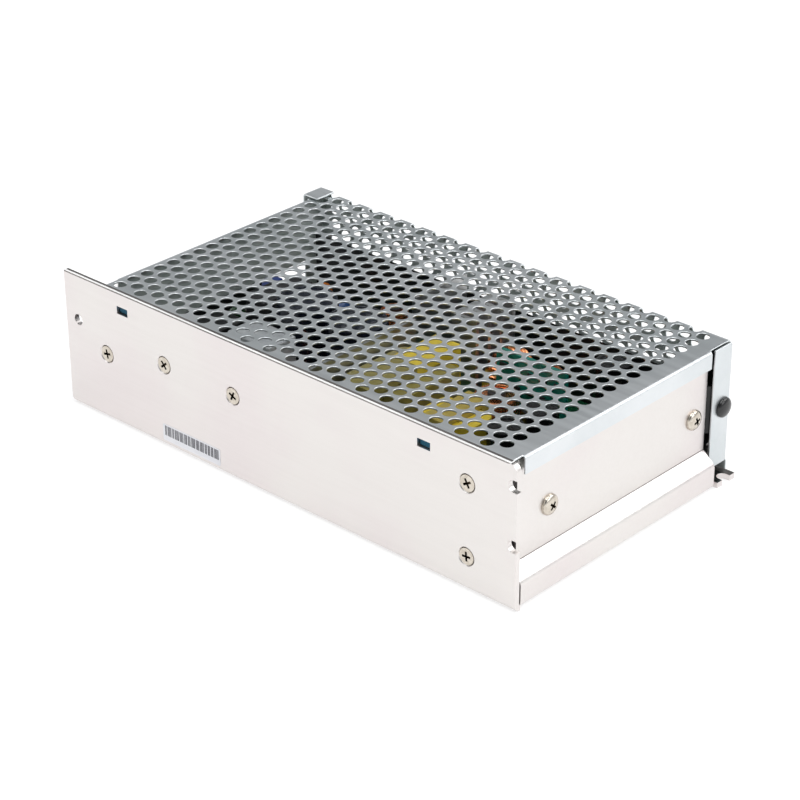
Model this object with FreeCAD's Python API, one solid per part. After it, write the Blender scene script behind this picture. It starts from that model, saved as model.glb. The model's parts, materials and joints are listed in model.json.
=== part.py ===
import FreeCAD, Part
import math
import os

# Enclosed switching power supply. All sizes are in millimetres.
# X runs along the case from the terminal end to the closed end, Y from the long
# front wall to the rear, Z up. The origin is at the middle of the footprint.

# Case
case_length = 199.0
case_width = 110.0
case_height = 50.0
fit_gap = 0.3

# Chassis, one folded aluminium sheet
chassis_sheet = 2.0
chassis_bend = 0.6
wall_corner_radius = 3.0
lip_height = 9.1
slope_rise = 4.0
joggle_depth = 4.9
lip_set_back = 0.3
end_wall_front_gap = 3.0
end_wall_rear_gap = 11.0
upstand_height = 10.0
foot_width = 9.3
foot_depth = 9.0
upstand_left_gap = 17.4
slot_width = 4.1
slot_depth = 3.4
wall_slot_heights = (42.8, 22.6)
wall_hole_radius = 2.0
wall_hole_inset = 6.0
wall_hole_height = 33.4
window_width = 5.2
window_height = 2.8
window_drop = 5.0
window_insets = (28.8, 36.3)
floor_hole_radius = 1.65
floor_hole_spacing_x = 150.0
floor_hole_spacing_y = 50.0

# Cover, one folded and perforated steel sheet
cover_sheet = 1.0
cover_bend = 0.5
cover_drop = 1.3
terminal_bay = 15.9
cover_end_gap = 3.5
front_flange_drop = 7.7
left_flange_drop = 23.3
left_flange_front_gap = 9.5
right_flange_drop = 6.1
right_flange_front_gap = 7.8
corner_strip_width = 9.7
corner_strip_bottom = 5.7
left_strip_reach = 2.6
tab_length = 7.7
tab_width = 8.7

# Perforation: staggered columns of six-sided holes, larger and wider apart than the
# round ones of the real sheet, so that the sheet stays light to mesh
hole_pitch = 11.5
hole_flats = 8.6
column_pitch = 9.6
left_border = 4.5
right_border = 7.0
front_border = 2.6
bottom_border = 6.0

# Fasteners
screw_radius = 1.5
screw_clearance = 0.2
thread_clearance = 0.1
countersink_radius = 3.3
screw_neck_radius = 1.6
screw_head_radius = 3.05
screw_head_sink = 0.15
recess_span = 3.4
recess_width = 0.9
recess_depth = 1.1
pan_head_radius = 3.5
pan_head_height = 2.2
bracket_screw_length = 6.0
transistor_screw_length = 9.2
end_screw_length = 6.0
rivet_head_radius = 3.5
rivet_head_height = 2.0
rivet_stem_radius = 2.0
rivet_stem_length = 5.0
end_screw_height = 26.4
end_screw_front_offset = 21.2
end_screw_rear_offset = 17.5
rivet_offset = 4.0
corner_screw_inset = 19.2
corner_screw_drop = 3.6
corner_screw_rise = 2.5
transistor_screw_insets = (48.1, 80.4)
transistor_screw_height = 30.65
rectifier_screw_inset = 19.7
rectifier_screw_height = 25.1
cover_screw_height = 6.5
cover_screw_inset = 40.0
cover_screw_head = 2.6
cover_screw_head_height = 0.8
cover_screw_length = 4.0

# Brackets in the corners of the end wall
bracket_sheet = 1.5
bracket_bend = 0.5
front_bracket_bottom = 9.4
front_bracket_gap = 0.4
front_bracket_wall_leg = 24.0
front_bracket_end_leg = 27.0
rear_bracket_bottom = 18.0
rear_bracket_top = 35.0
rear_bracket_leg = 15.0

# Sticker
sticker_thickness = 0.1
sticker_width = 27.4
sticker_height = 6.1
sticker_inset = 46.2
sticker_bottom = 2.5

# Sides of the polygons that stand for round forms: screw heads, and parts inside
head_sides = 16
round_sides = 24

# Circuit board and what it stands on
standoff_height = 5.0
standoff_flats = 5.5
board_thickness = 1.6
board_end_gap = 4.3
board_side_gap = 1.3
board_bay_gap = 1.0
insulation_thickness = 0.4
insulation_margin = 2.0
insulation_hole_radius = 4.0
board_screw_head = 2.8
board_screw_height = 1.8
board_screw_length = 5.0
standoff_inset_x = 20.0
standoff_inset_y = 5.0

# Terminal block
terminal_count = 7
terminal_pitch = 9.5
barrier_thickness = 1.5
terminal_depth = 14.0
terminal_deck_height = 8.0
terminal_block_height = 16.4
terminal_back = 2.0
terminal_front_gap = 9.0
clamp_size = 6.2
clamp_thickness = 1.0
terminal_head_radius = 2.9
terminal_head_height = 2.2
terminal_shank_radius = 1.6
terminal_shank_length = 5.0

# Output voltage adjuster and lamp
adjuster_width = 9.5
adjuster_depth = 5.0
adjuster_height = 10.5
adjuster_gap = 4.4
adjuster_inset = 5.5
adjuster_axis_height = 5.6
rotor_radius = 3.2
rotor_length = 3.0
rotor_depth = 2.0
rotor_clearance = 0.1
rotor_slot_width = 0.9
rotor_slot_depth = 0.8
lamp_radius = 1.5
lamp_height = 5.0
lamp_gap = 2.2

# Capacitors (radius, height)
bulk_radius = 10.5
bulk_height = 32.0
output_radius = 6.2
output_height = 25.0
film_size = (12.0, 26.0, 18.0)
grey_film_size = (20.0, 13.0, 25.0)
part_gap = 0.5
disc_radius = 5.5
disc_thickness = 4.0
disc_height = 14.0

# Wound parts on window cores (along X, along Y, height)
main_size = (26.0, 44.0, 30.0)
main_core_thickness = 11.0
main_leg = 7.0
second_size = (21.0, 22.0, 25.5)
second_core_thickness = 9.0
second_leg = 4.0
line_choke_size = (20.0, 24.0, 21.0)
line_choke_core_thickness = 9.0
line_choke_leg = 4.0
winding_round = 3.0
winding_gap = 0.2

# Wound rings and rod chokes
ring_facets = 20
ring_winding_facets = 17
filter_ring_radius = 9.5
output_ring_radius = 12.0
ring_thickness = 9.0
ring_build = 5.5
wire_build = 1.4
choke_radius = 7.5
choke_height = 20.0
choke_rod_radius = 3.0
choke_rod_proud = 1.0
small_choke_radius = 5.0
small_choke_height = 16.0

# Heat plates and power parts
heat_plate_thickness = 2.0
heat_plate_height = 32.0
heat_plate_lengths = (50.0, 26.0)
fin_block_size = (11.0, 20.0, 33.0)
fin_thickness = 1.6
fin_root = 3.0
fin_count = 4
transistor_size = (10.2, 4.5, 15.5)
transistor_hole_drop = 2.9
rectifier_size = (15.0, 4.5, 18.0)
rectifier_hole_drop = 6.0
pad_thickness = 0.4
pad_margin = 1.0
lead_width = 0.9
lead_thickness = 0.6
lead_pitch = 2.54
nut_flats = 5.5
nut_height = 2.4
fuse_radius = 2.6
fuse_length = 20.0
fuse_cap_length = 5.0
fuse_lift = 1.0
control_board_size = (29.0, 1.6, 30.0)

# Levels and faces that follow from the driving sizes
x_left = -case_length / 2
x_right = case_length / 2
y_front = -case_width / 2
y_rear = case_width / 2
wall_inner = y_front + chassis_sheet
lip_outer = x_right - lip_set_back
end_outer = lip_outer - joggle_depth
end_inner = end_outer - chassis_sheet
end_y0 = y_front + end_wall_front_gap
end_y1 = y_rear - end_wall_rear_gap
cover_top = case_height - cover_drop
cover_under = cover_top - cover_sheet
cover_x0 = x_left + terminal_bay
cover_x1 = x_right - cover_end_gap
cover_y0 = wall_inner + fit_gap
window_level = cover_top - window_drop
front_bracket_top = cover_top - front_flange_drop - front_bracket_gap
corner_screw_heights = (front_bracket_top - corner_screw_drop,
                        front_bracket_bottom + corner_screw_rise)
fold = cover_sheet + cover_bend
fold_half = (cover_sheet / 2 + cover_bend) * math.pi / 4
strip_y0 = y_rear - corner_strip_width
upstand_outer = y_rear - cover_sheet - fit_gap
board_bottom = chassis_sheet + standoff_height
board_top = board_bottom + board_thickness
board_x0 = x_left + board_bay_gap
board_x1 = end_inner - board_end_gap
board_y0 = wall_inner + board_side_gap
board_y1 = upstand_outer - chassis_sheet - board_side_gap
board_length = board_x1 - board_x0
board_width = board_y1 - board_y0

part_count = 0


def point(u, v, plane, level):
    """A point of a drawing plane, at its level along the third axis."""
    if plane == "YZ":
        return FreeCAD.Vector(level, u, v)
    if plane == "XZ":
        return FreeCAD.Vector(u, level, v)
    return FreeCAD.Vector(u, v, level)


def along(plane, distance):
    """The extrusion vector square to a drawing plane."""
    return point(0, 0, plane, distance)


def block(x0, x1, y0, y1, z0, z1):
    """A box between two opposite corners."""
    return Part.makeBox(x1 - x0, y1 - y0, z1 - z0, FreeCAD.Vector(x0, y0, z0))


def rod(radius, length, x, y, z, direction):
    """A round bar that starts at a point and runs along a direction."""
    return Part.makeCylinder(radius, length, FreeCAD.Vector(x, y, z), FreeCAD.Vector(*direction))


def outline(corners, plane, level):
    """A closed wire of straight edges."""
    points = [point(u, v, plane, level) for u, v in corners]
    return Part.makePolygon(points + points[:1])


def plate(corners, plane, start, end):
    """A straight-edged plate between two levels."""
    return Part.Face(outline(corners, plane, start)).extrude(along(plane, end - start))


def placed(shape, x, y, z, direction):
    """A shape drawn about the Z axis, moved to a point and turned to a direction."""
    turn = FreeCAD.Rotation(FreeCAD.Vector(0, 0, 1), FreeCAD.Vector(*direction))
    shape.Placement = FreeCAD.Placement(FreeCAD.Vector(x, y, z), turn)
    return shape


def stepped(levels):
    """A turned shape about the Z axis, drawn with flat sides, from (radius, height) pairs."""
    rings = [[point(u, v, "XY", height) for u, v in sides(head_sides, radius)]
             for radius, height in levels]
    faces = [Part.Face(Part.makePolygon(ring + ring[:1])) for ring in (rings[0], rings[-1])]
    for low, high in zip(rings, rings[1:]):
        for k in range(head_sides):
            corners = [low[k - 1], low[k], high[k], high[k - 1], low[k - 1]]
            faces.append(Part.Face(Part.makePolygon(corners)))
    return Part.makeSolid(Part.makeShell(faces))


def sides(count, radius, u=0, v=0):
    """The corners of a regular polygon, one of them on the first axis."""
    step = 2 * math.pi / count
    return [(u + radius * math.cos(step * k), v + radius * math.sin(step * k))
            for k in range(count)]


def shank(radius, start, end):
    """A hidden shank, or the hole for one: eight-sided, to keep the model light."""
    return plate(sides(8, radius), "XY", start, end)


def bar(radius, length, x, y, z, direction):
    """A round part inside the case, drawn with flat sides to keep the model light."""
    return placed(plate(sides(round_sides, radius), "XY", 0, length), x, y, z, direction)


def shank_hole(radius, length, x, y, z, direction):
    """The hole for a hidden shank, from a point along a direction."""
    return placed(shank(radius, 0, length), x, y, z, direction)


def headed(levels, radius, length):
    """A screw about the Z axis: a turned head, and a shank down to a level below zero."""
    middle = (levels[0][1] + levels[-1][1]) / 2
    return stepped(levels).fuse(shank(radius, -length, middle))


def fused(shapes):
    """One clean solid out of touching pieces."""
    return shapes[0].multiFuse(shapes[1:]).removeSplitter()


def shifted_line(points, shift):
    """The same run of straight stretches, moved square to itself to its left."""
    lines = []
    for (u0, v0), (u1, v1) in zip(points, points[1:]):
        length = math.hypot(u1 - u0, v1 - v0)
        nu = -(v1 - v0) / length
        nv = (u1 - u0) / length
        lines.append((u0 + nu * shift, v0 + nv * shift, u1 - u0, v1 - v0))
    moved = [(lines[0][0], lines[0][1])]
    for (ua, va, da, ea), (ub, vb, db, eb) in zip(lines, lines[1:]):
        cross = da * eb - ea * db
        k = ((ub - ua) * eb - (vb - va) * db) / cross
        moved.append((ua + k * da, va + k * ea))
    u, v, du, dv = lines[-1]
    moved.append((u + du, v + dv))
    return moved


def turn_sign(a, b, c):
    """Plus one where the run turns left at b, minus one where it turns right."""
    cross = (b[0] - a[0]) * (c[1] - b[1]) - (b[1] - a[1]) * (c[0] - b[0])
    return math.copysign(1.0, cross)


def straight(edges, a, b, plane, level):
    """Add the straight edge between two points, unless they are one point."""
    if math.dist(a, b) > 1e-6:
        edges.append(Part.makeLine(point(*a, plane, level), point(*b, plane, level)))


def rounded_edges(points, radii, plane, level):
    """Straight edges joined by tangent arcs, one radius for each inner point."""
    edges = []
    last = points[0]
    for a, b, c, radius in zip(points, points[1:], points[2:], radii):
        length_in = math.hypot(b[0] - a[0], b[1] - a[1])
        length_out = math.hypot(c[0] - b[0], c[1] - b[1])
        into = ((b[0] - a[0]) / length_in, (b[1] - a[1]) / length_in)
        out = ((c[0] - b[0]) / length_out, (c[1] - b[1]) / length_out)
        half_turn = math.acos(max(-1.0, min(1.0, into[0] * out[0] + into[1] * out[1]))) / 2
        back = radius * math.tan(half_turn)
        first = (b[0] - into[0] * back, b[1] - into[1] * back)
        second = (b[0] + out[0] * back, b[1] + out[1] * back)
        bow = radius / math.cos(half_turn) - radius
        side = (out[0] - into[0], out[1] - into[1])
        size = math.hypot(*side)
        middle = (b[0] + side[0] / size * bow, b[1] + side[1] / size * bow)
        straight(edges, last, first, plane, level)
        arc = Part.Arc(point(*first, plane, level), point(*middle, plane, level),
                       point(*second, plane, level))
        edges.append(arc.toShape())
        last = second
    straight(edges, last, points[-1], plane, level)
    return edges


def folded_sheet(points, sheet, bend, plane, start, end):
    """A folded sheet: its face line, thickened to the left (or right if negative)."""
    inner = shifted_line(points, sheet)
    side = math.copysign(1.0, sheet)
    signs = [side * turn_sign(*corner) for corner in zip(points, points[1:], points[2:])]
    wide = bend + abs(sheet)
    outer_radii = [wide if sign > 0 else bend for sign in signs]
    inner_radii = [bend if sign > 0 else wide for sign in signs]
    edges = rounded_edges(points, outer_radii, plane, start)
    inner_edges = rounded_edges(inner, inner_radii, plane, start)
    far = Part.makeLine(point(*points[-1], plane, start), point(*inner[-1], plane, start))
    near = Part.makeLine(point(*inner[0], plane, start), point(*points[0], plane, start))
    wire = Part.Wire(Part.__sortEdges__(edges + [far] + inner_edges + [near]))
    return Part.Face(wire).extrude(along(plane, end - start))


def save(name, shape):
    """Check one node and write it."""
    global part_count
    if not shape.isValid():
        raise ValueError(name + " is not a valid shape")
    shape.exportStep("parts/" + name + ".step")
    part_count += 1


def screw_places():
    """The countersunk screws of the front wall, as (x, z) on its face."""
    places = [(x_left + rectifier_screw_inset, rectifier_screw_height)]
    for inset in transistor_screw_insets:
        places.append((x_left + inset, transistor_screw_height))
    for height in corner_screw_heights:
        places.append((x_right - corner_screw_inset, height))
    return places


def end_screw_places():
    """The pan head screws of the end wall, as (y, z) on its face."""
    return [(y_front + end_screw_front_offset, end_screw_height),
            (y_rear - end_screw_rear_offset, end_screw_height)]


def cover_screw_places():
    """The screws that hold the cover to the rear upstand, as x."""
    return [x_left + cover_screw_inset, x_right - cover_screw_inset]


def standoff_places():
    """The threaded standoffs under the board, as (x, y)."""
    return [(x, y)
            for x in (board_x0 + standoff_inset_x, board_x1 - standoff_inset_y)
            for y in (board_y0 + standoff_inset_y, board_y1 - standoff_inset_y)]


def window_places():
    """The middles of the two windows that the cover hooks into, as x."""
    return [x_left + window_insets[0], x_right - window_insets[1]]


def chassis():
    """Floor, front wall, joggled end wall, foot and rear upstand in one sheet."""
    outer_bend = chassis_sheet + chassis_bend
    floor_y0 = y_front + outer_bend
    wall = folded_sheet([(floor_y0, 0), (y_front, 0), (y_front, case_height)],
                        -chassis_sheet, chassis_bend, "YZ", x_left, x_right)
    corner = plate([(x_right - wall_corner_radius, case_height - wall_corner_radius),
                    (x_right, case_height - wall_corner_radius), (x_right, case_height),
                    (x_right - wall_corner_radius, case_height)], "XZ", y_front, wall_inner)
    corner = corner.cut(rod(wall_corner_radius, chassis_sheet, x_right - wall_corner_radius,
                            y_front, case_height - wall_corner_radius, (0, 1, 0)))
    wall = wall.cut(corner)
    lip_start = lip_outer - outer_bend
    lip_line = [(lip_start, 0), (lip_outer, 0), (lip_outer, lip_height),
                (end_outer, lip_height + slope_rise), (end_outer, cover_under - fit_gap)]
    end_wall = folded_sheet(lip_line, chassis_sheet, chassis_bend, "XZ", end_y0, end_y1)
    upstand_bend = upstand_outer - outer_bend
    upstand_x0 = x_left + upstand_left_gap
    upstand_x1 = x_right - foot_depth
    upstand = folded_sheet([(upstand_bend, 0), (upstand_outer, 0), (upstand_outer, upstand_height)],
                           chassis_sheet, chassis_bend, "YZ", upstand_x0, upstand_x1)
    foot_y0 = y_rear - foot_width
    floor = plate([(x_left, floor_y0), (lip_start - chassis_sheet, floor_y0),
                   (lip_start - chassis_sheet, end_y0), (lip_start, end_y0),
                   (lip_start, end_y1), (upstand_x1, end_y1), (upstand_x1, foot_y0),
                   (x_right, foot_y0), (x_right, y_rear), (upstand_x1, y_rear),
                   (upstand_x1, upstand_bend), (upstand_x0, upstand_bend),
                   (upstand_x0, y_rear), (x_left, y_rear)], "XY", 0, chassis_sheet)
    body = fused([wall, end_wall, upstand, floor])
    cuts = []
    clear = screw_radius + screw_clearance
    for x, z in screw_places():
        cuts.append(Part.makeCone(countersink_radius, clear, chassis_sheet,
                                  FreeCAD.Vector(x, y_front, z), FreeCAD.Vector(0, 1, 0)))
    for y, z in end_screw_places():
        cuts.append(shank_hole(clear, chassis_sheet, end_inner, y, z, (1, 0, 0)))
    for x in cover_screw_places():
        cuts.append(shank_hole(clear, chassis_sheet, x, upstand_outer - chassis_sheet,
                               cover_screw_height, (0, 1, 0)))
    for x in window_places():
        cuts.append(block(x - window_width / 2, x + window_width / 2, y_front, wall_inner,
                          window_level - window_height / 2, window_level + window_height / 2))
    for z in wall_slot_heights:
        cuts.append(u_slot("XZ", x_right, z, y_front, wall_inner))
    cuts.append(u_slot("XY", x_right, y_rear - foot_width / 2, 0, chassis_sheet))
    cuts.append(rod(wall_hole_radius, chassis_sheet, x_left + wall_hole_inset, y_front,
                    wall_hole_height, (0, 1, 0)))
    for x, y in floor_hole_places():
        cuts.append(rod(floor_hole_radius, chassis_sheet, x, y, 0, (0, 0, 1)))
    return body.cut(Part.Compound(cuts))


def floor_hole_places():
    """The four tapped holes in the floor, as (x, y)."""
    return [(sx * floor_hole_spacing_x / 2, sy * floor_hole_spacing_y / 2)
            for sx in (-1, 1) for sy in (-1, 1)]


def u_slot(plane, edge, centre, start, end):
    """A slot with a round bottom, open at an edge on the right."""
    radius = slot_width / 2
    depth = slot_depth - radius
    square = plate([(edge - depth, centre - radius), (edge, centre - radius),
                    (edge, centre + radius), (edge - depth, centre + radius)], plane, start, end)
    base = point(edge - depth, centre, plane, start)
    direction = point(0, 0, plane, 1)
    return square.fuse(Part.makeCylinder(radius, end - start, base, direction))


def hexagon(u, v, plane, level):
    """One hole of the perforation, flats towards its neighbours in the column."""
    return outline(sides(6, hole_flats / math.sqrt(3), u, v)[::-1], plane, level)


def hole_columns():
    """The columns of holes, as x."""
    first = cover_x0 + left_border + hole_flats / 2
    room = cover_x1 - right_border - first
    count = int(room / column_pitch) + 1
    return [first + k * column_pitch for k in range(count)]


def notched_edge(columns, level, side):
    """The edge along the rear fold, with the half holes that straddle it."""
    radius = hole_flats / math.sqrt(3)
    corners = []
    for x in columns[::2]:
        corners.append((x - radius, level))
        corners.append((x - radius / 2, level + side * (hole_flats / 2 - fold_half)))
        corners.append((x + radius / 2, level + side * (hole_flats / 2 - fold_half)))
        corners.append((x + radius, level))
    return corners


def mesh_cover():
    """Top, rear wall, three flanges, two corner strips and a tab in one sheet."""
    columns = hole_columns()
    top_rear = y_rear - fold
    wall_top = cover_top - fold
    wall_bottom = chassis_sheet + fit_gap
    top_left = cover_x0 + fold
    top_right = cover_x1 - fold
    top_front = cover_y0 + fold
    corner_y = strip_y0 - fit_gap
    rear_left = cover_x0 - left_strip_reach + fold
    edge = [(top_left, top_front), (top_right, top_front), (top_right, top_rear)]
    edge += notched_edge(columns, top_rear, -1)[::-1]
    edge += [(cover_x0, top_rear), (cover_x0, corner_y), (top_left, corner_y)]
    top_holes = []
    wall_holes = []
    for k, x in enumerate(columns):
        travel = hole_pitch if k % 2 == 0 else hole_pitch / 2
        while top_rear + fold_half - travel > cover_y0 + front_border + hole_flats / 2:
            top_holes.append(hexagon(x, top_rear + fold_half - travel, "XY", cover_under))
            travel += hole_pitch
        travel = hole_pitch if k % 2 == 0 else hole_pitch / 2
        while wall_top + fold_half - travel > wall_bottom + bottom_border + hole_flats / 2:
            wall_holes.append(hexagon(x, wall_top + fold_half - travel, "XZ", y_rear - cover_sheet))
            travel += hole_pitch
    for x in cover_screw_places():
        corners = sides(8, screw_radius + screw_clearance, x, cover_screw_height)
        wall_holes.append(outline(corners[::-1], "XZ", y_rear - cover_sheet))
    top = Part.Face([outline(edge, "XY", cover_under)] + top_holes)
    wall_edge = [(rear_left, wall_bottom), (top_right, wall_bottom), (top_right, wall_top)]
    wall_edge += notched_edge(columns, wall_top, -1)[::-1]
    wall_edge += [(rear_left, wall_top)]
    wall = Part.Face([outline(wall_edge, "XZ", y_rear - cover_sheet)] + wall_holes)
    pieces = [top.extrude(FreeCAD.Vector(0, 0, cover_sheet)),
              wall.extrude(FreeCAD.Vector(0, cover_sheet, 0))]
    radius = hole_flats / math.sqrt(3)
    starts = [cover_x0] + [x + radius for x in columns[::2]]
    ends = [x - radius for x in columns[::2]] + [top_right]
    bends = [sides(12, r, top_rear, wall_top)[:4] for r in (fold, cover_bend)]
    for start, end in zip(starts, ends):
        pieces.append(plate(bends[0] + bends[1][::-1], "YZ", start, end))
    pieces.append(front_flange(top_left, top_front))
    pieces.append(folded_sheet([(top_left, cover_top), (cover_x0, cover_top),
                                (cover_x0, cover_top - left_flange_drop)],
                               cover_sheet, cover_bend, "XZ",
                               y_front + left_flange_front_gap, corner_y))
    pieces.append(folded_sheet([(top_right, cover_top), (cover_x1, cover_top),
                                (cover_x1, cover_top - right_flange_drop)],
                               -cover_sheet, cover_bend, "XZ",
                               y_front + right_flange_front_gap, end_y1 - fit_gap))
    pieces.append(right_strip(top_right, wall_top))
    left_face = cover_x0 - left_strip_reach
    pieces.append(folded_sheet([(rear_left, y_rear), (left_face, y_rear), (left_face, strip_y0)],
                               cover_sheet, cover_bend, "XY", corner_strip_bottom, wall_top))
    pieces.append(folded_sheet([(left_face, wall_top), (left_face, case_height),
                                (left_face + tab_length, case_height)],
                               -cover_sheet, cover_bend, "XZ", strip_y0,
                               min(strip_y0 + tab_width, top_rear)))
    return fused(pieces)


def front_flange(start, bend_y):
    """The flange that hangs behind the front wall, with its two hooks."""
    flange = folded_sheet([(bend_y, cover_top), (cover_y0, cover_top),
                           (cover_y0, cover_top - front_flange_drop)],
                          cover_sheet, cover_bend, "YZ", start, end_inner - fit_gap)
    hooks = []
    for x in window_places():
        hooks.append(block(x - window_width / 2 + fit_gap, x + window_width / 2 - fit_gap,
                           cover_y0 - chassis_sheet / 2, cover_y0 + cover_sheet / 2,
                           window_level - window_height / 2 + fit_gap,
                           window_level + window_height / 2 - fit_gap))
    return flange.fuse(hooks)


def right_strip(bend_x, wall_top):
    """The strip folded from the rear wall round the closed end, with its rivet hole."""
    strip = folded_sheet([(bend_x, y_rear), (cover_x1, y_rear), (cover_x1, strip_y0)],
                         -cover_sheet, cover_bend, "XY", corner_strip_bottom, wall_top)
    strip = strip.fuse(block(cover_x1 - cover_sheet, cover_x1, strip_y0, y_rear - fold,
                             wall_top, cover_top - fit_gap))
    return strip.cut(shank_hole(rivet_stem_radius + screw_clearance, cover_sheet,
                                cover_x1 - cover_sheet, y_rear - rivet_offset,
                                end_screw_height, (1, 0, 0)))


def cross_recess(start, end):
    """The cross-shaped tool mark of a screw head, between two levels."""
    half = recess_span / 2
    thin = recess_width / 2
    return plate([(-half, -thin), (-thin, -thin), (-thin, -half), (thin, -half),
                  (thin, -thin), (half, -thin), (half, thin), (thin, thin),
                  (thin, half), (-thin, half), (-thin, thin), (-half, thin)], "XY", start, end)


def countersunk_screws():
    """Five countersunk screws through the front wall, heads just below its face."""
    screws = []
    neck = screw_head_radius - screw_neck_radius
    for k, (x, z) in enumerate(screw_places()):
        held_by_nut = k <= len(transistor_screw_insets)
        length = transistor_screw_length if held_by_nut else bracket_screw_length
        screw = headed([(screw_neck_radius, -neck), (screw_head_radius, 0)], screw_radius, length)
        screw = screw.cut(cross_recess(-recess_depth, 0))
        screws.append(placed(screw, x, y_front + screw_head_sink, z, (0, -1, 0)))
    return Part.Compound(screws)


def pan_head_screws():
    """Two pan head screws that hold the end wall to the corner brackets."""
    screws = []
    for y, z in end_screw_places():
        screw = headed([(pan_head_radius, 0), (pan_head_radius, pan_head_height * 0.45),
                        (pan_head_radius * 0.6, pan_head_height)], screw_radius, end_screw_length)
        screw = screw.cut(cross_recess(pan_head_height - recess_depth, pan_head_height))
        screws.append(placed(screw, end_outer, y, z, (1, 0, 0)))
    return Part.Compound(screws)


def flat_head(radius, height, shank_radius, length):
    """A plain screw about the Z axis, with a low flat head."""
    head = plate(sides(head_sides, radius), "XY", 0, height)
    return head.fuse(shank(shank_radius, -length, height / 2))


def cover_screws():
    """Two flat head screws through the rear wall's plain border."""
    screw = flat_head(cover_screw_head, cover_screw_head_height, screw_radius,
                      cover_screw_length)
    return Part.Compound([placed(screw.copy(), x, y_rear, cover_screw_height, (0, 1, 0))
                          for x in cover_screw_places()])


def snap_rivet():
    """A domed plastic rivet that pins the corner strip to the rear bracket."""
    rivet = headed([(rivet_head_radius, 0), (rivet_head_radius * 0.6, rivet_head_height)],
                   rivet_stem_radius, rivet_stem_length)
    return placed(rivet, cover_x1, y_rear - rivet_offset, end_screw_height, (1, 0, 0))


def front_corner_bracket():
    """The angle that joins the front wall and the end wall from inside."""
    angle = folded_sheet([(end_inner - front_bracket_wall_leg, wall_inner),
                          (end_inner, wall_inner),
                          (end_inner, wall_inner + front_bracket_end_leg)],
                         bracket_sheet, bracket_bend, "XY", front_bracket_bottom,
                         front_bracket_top)
    hole = screw_radius + thread_clearance
    cuts = [shank_hole(hole, bracket_sheet, x_right - corner_screw_inset, wall_inner, z,
                       (0, 1, 0)) for z in corner_screw_heights]
    y, z = end_screw_places()[0]
    cuts.append(shank_hole(hole, bracket_sheet, end_inner - bracket_sheet, y, z, (1, 0, 0)))
    return angle.cut(Part.Compound(cuts))


def rear_corner_bracket():
    """The joggled strap that joins the end wall and the cover's corner strip."""
    strip_inner = cover_x1 - cover_sheet
    strap = folded_sheet([(end_inner, end_y1 - rear_bracket_leg), (end_inner, end_y1 + 2 * fit_gap),
                          (strip_inner, strip_y0 + 1.5), (strip_inner, y_rear - fold - fit_gap)],
                         bracket_sheet, bracket_bend, "XY", rear_bracket_bottom,
                         rear_bracket_top)
    y, z = end_screw_places()[1]
    screw_hole = shank_hole(screw_radius + thread_clearance, bracket_sheet,
                            end_inner - bracket_sheet, y, z, (1, 0, 0))
    rivet_hole = shank_hole(rivet_stem_radius + thread_clearance, bracket_sheet,
                            strip_inner - bracket_sheet, y_rear - rivet_offset,
                            end_screw_height, (1, 0, 0))
    return strap.cut(Part.Compound([screw_hole, rivet_hole]))


def bar_sticker():
    """The small sticker low on the front wall."""
    x = x_left + sticker_inset
    return block(x, x + sticker_width, y_front - sticker_thickness, y_front,
                 sticker_bottom, sticker_bottom + sticker_height)


def insulating_sheet():
    """The thin sheet on the floor under the board, open at standoffs and tapped holes."""
    sheet = block(x_left + insulation_margin, board_x1, board_y0, board_y1,
                  chassis_sheet, chassis_sheet + insulation_thickness)
    holes = [shank_hole(insulation_hole_radius, insulation_thickness, x, y, chassis_sheet,
                        (0, 0, 1)) for x, y in standoff_places() + floor_hole_places()]
    return sheet.cut(Part.Compound(holes))


def hex_column(flats, height, hole, x, y, z, direction):
    """A hexagonal nut or standoff with a hole through it."""
    column = plate(sides(6, flats / math.sqrt(3)), "XY", 0, height).cut(shank(hole, 0, height))
    return placed(column, x, y, z, direction)


def board_standoffs():
    """Threaded hexagonal standoffs riveted to the floor."""
    return Part.Compound([hex_column(standoff_flats, standoff_height,
                                     screw_radius + thread_clearance,
                                     x, y, chassis_sheet, (0, 0, 1))
                          for x, y in standoff_places()])


def circuit_board():
    """The board, with a corner cut away for the cover's corner strip."""
    notch_x = cover_x0 + fold
    notch_y = strip_y0 - 2 * fit_gap
    board = plate([(board_x0, board_y0), (board_x1, board_y0), (board_x1, board_y1),
                   (notch_x, board_y1), (notch_x, notch_y), (board_x0, notch_y)],
                  "XY", board_bottom, board_top)
    holes = [shank_hole(screw_radius + screw_clearance, board_thickness, x, y, board_bottom,
                        (0, 0, 1)) for x, y in standoff_places()]
    return board.cut(Part.Compound(holes))


def board_screws():
    """One pan head screw on each standoff."""
    screw = flat_head(board_screw_head, board_screw_height, screw_radius, board_screw_length)
    return Part.Compound([placed(screw.copy(), x, y, board_top, (0, 0, 1))
                          for x, y in standoff_places()])


def terminal_places():
    """The middles of the terminals, as y."""
    first = y_front + terminal_front_gap + barrier_thickness / 2 + terminal_pitch / 2
    return [first + k * terminal_pitch for k in range(terminal_count)]


def terminal_screw_x():
    """The line of terminal screws, in the middle of the open deck."""
    return board_x0 + (terminal_depth - terminal_back) / 2


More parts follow.
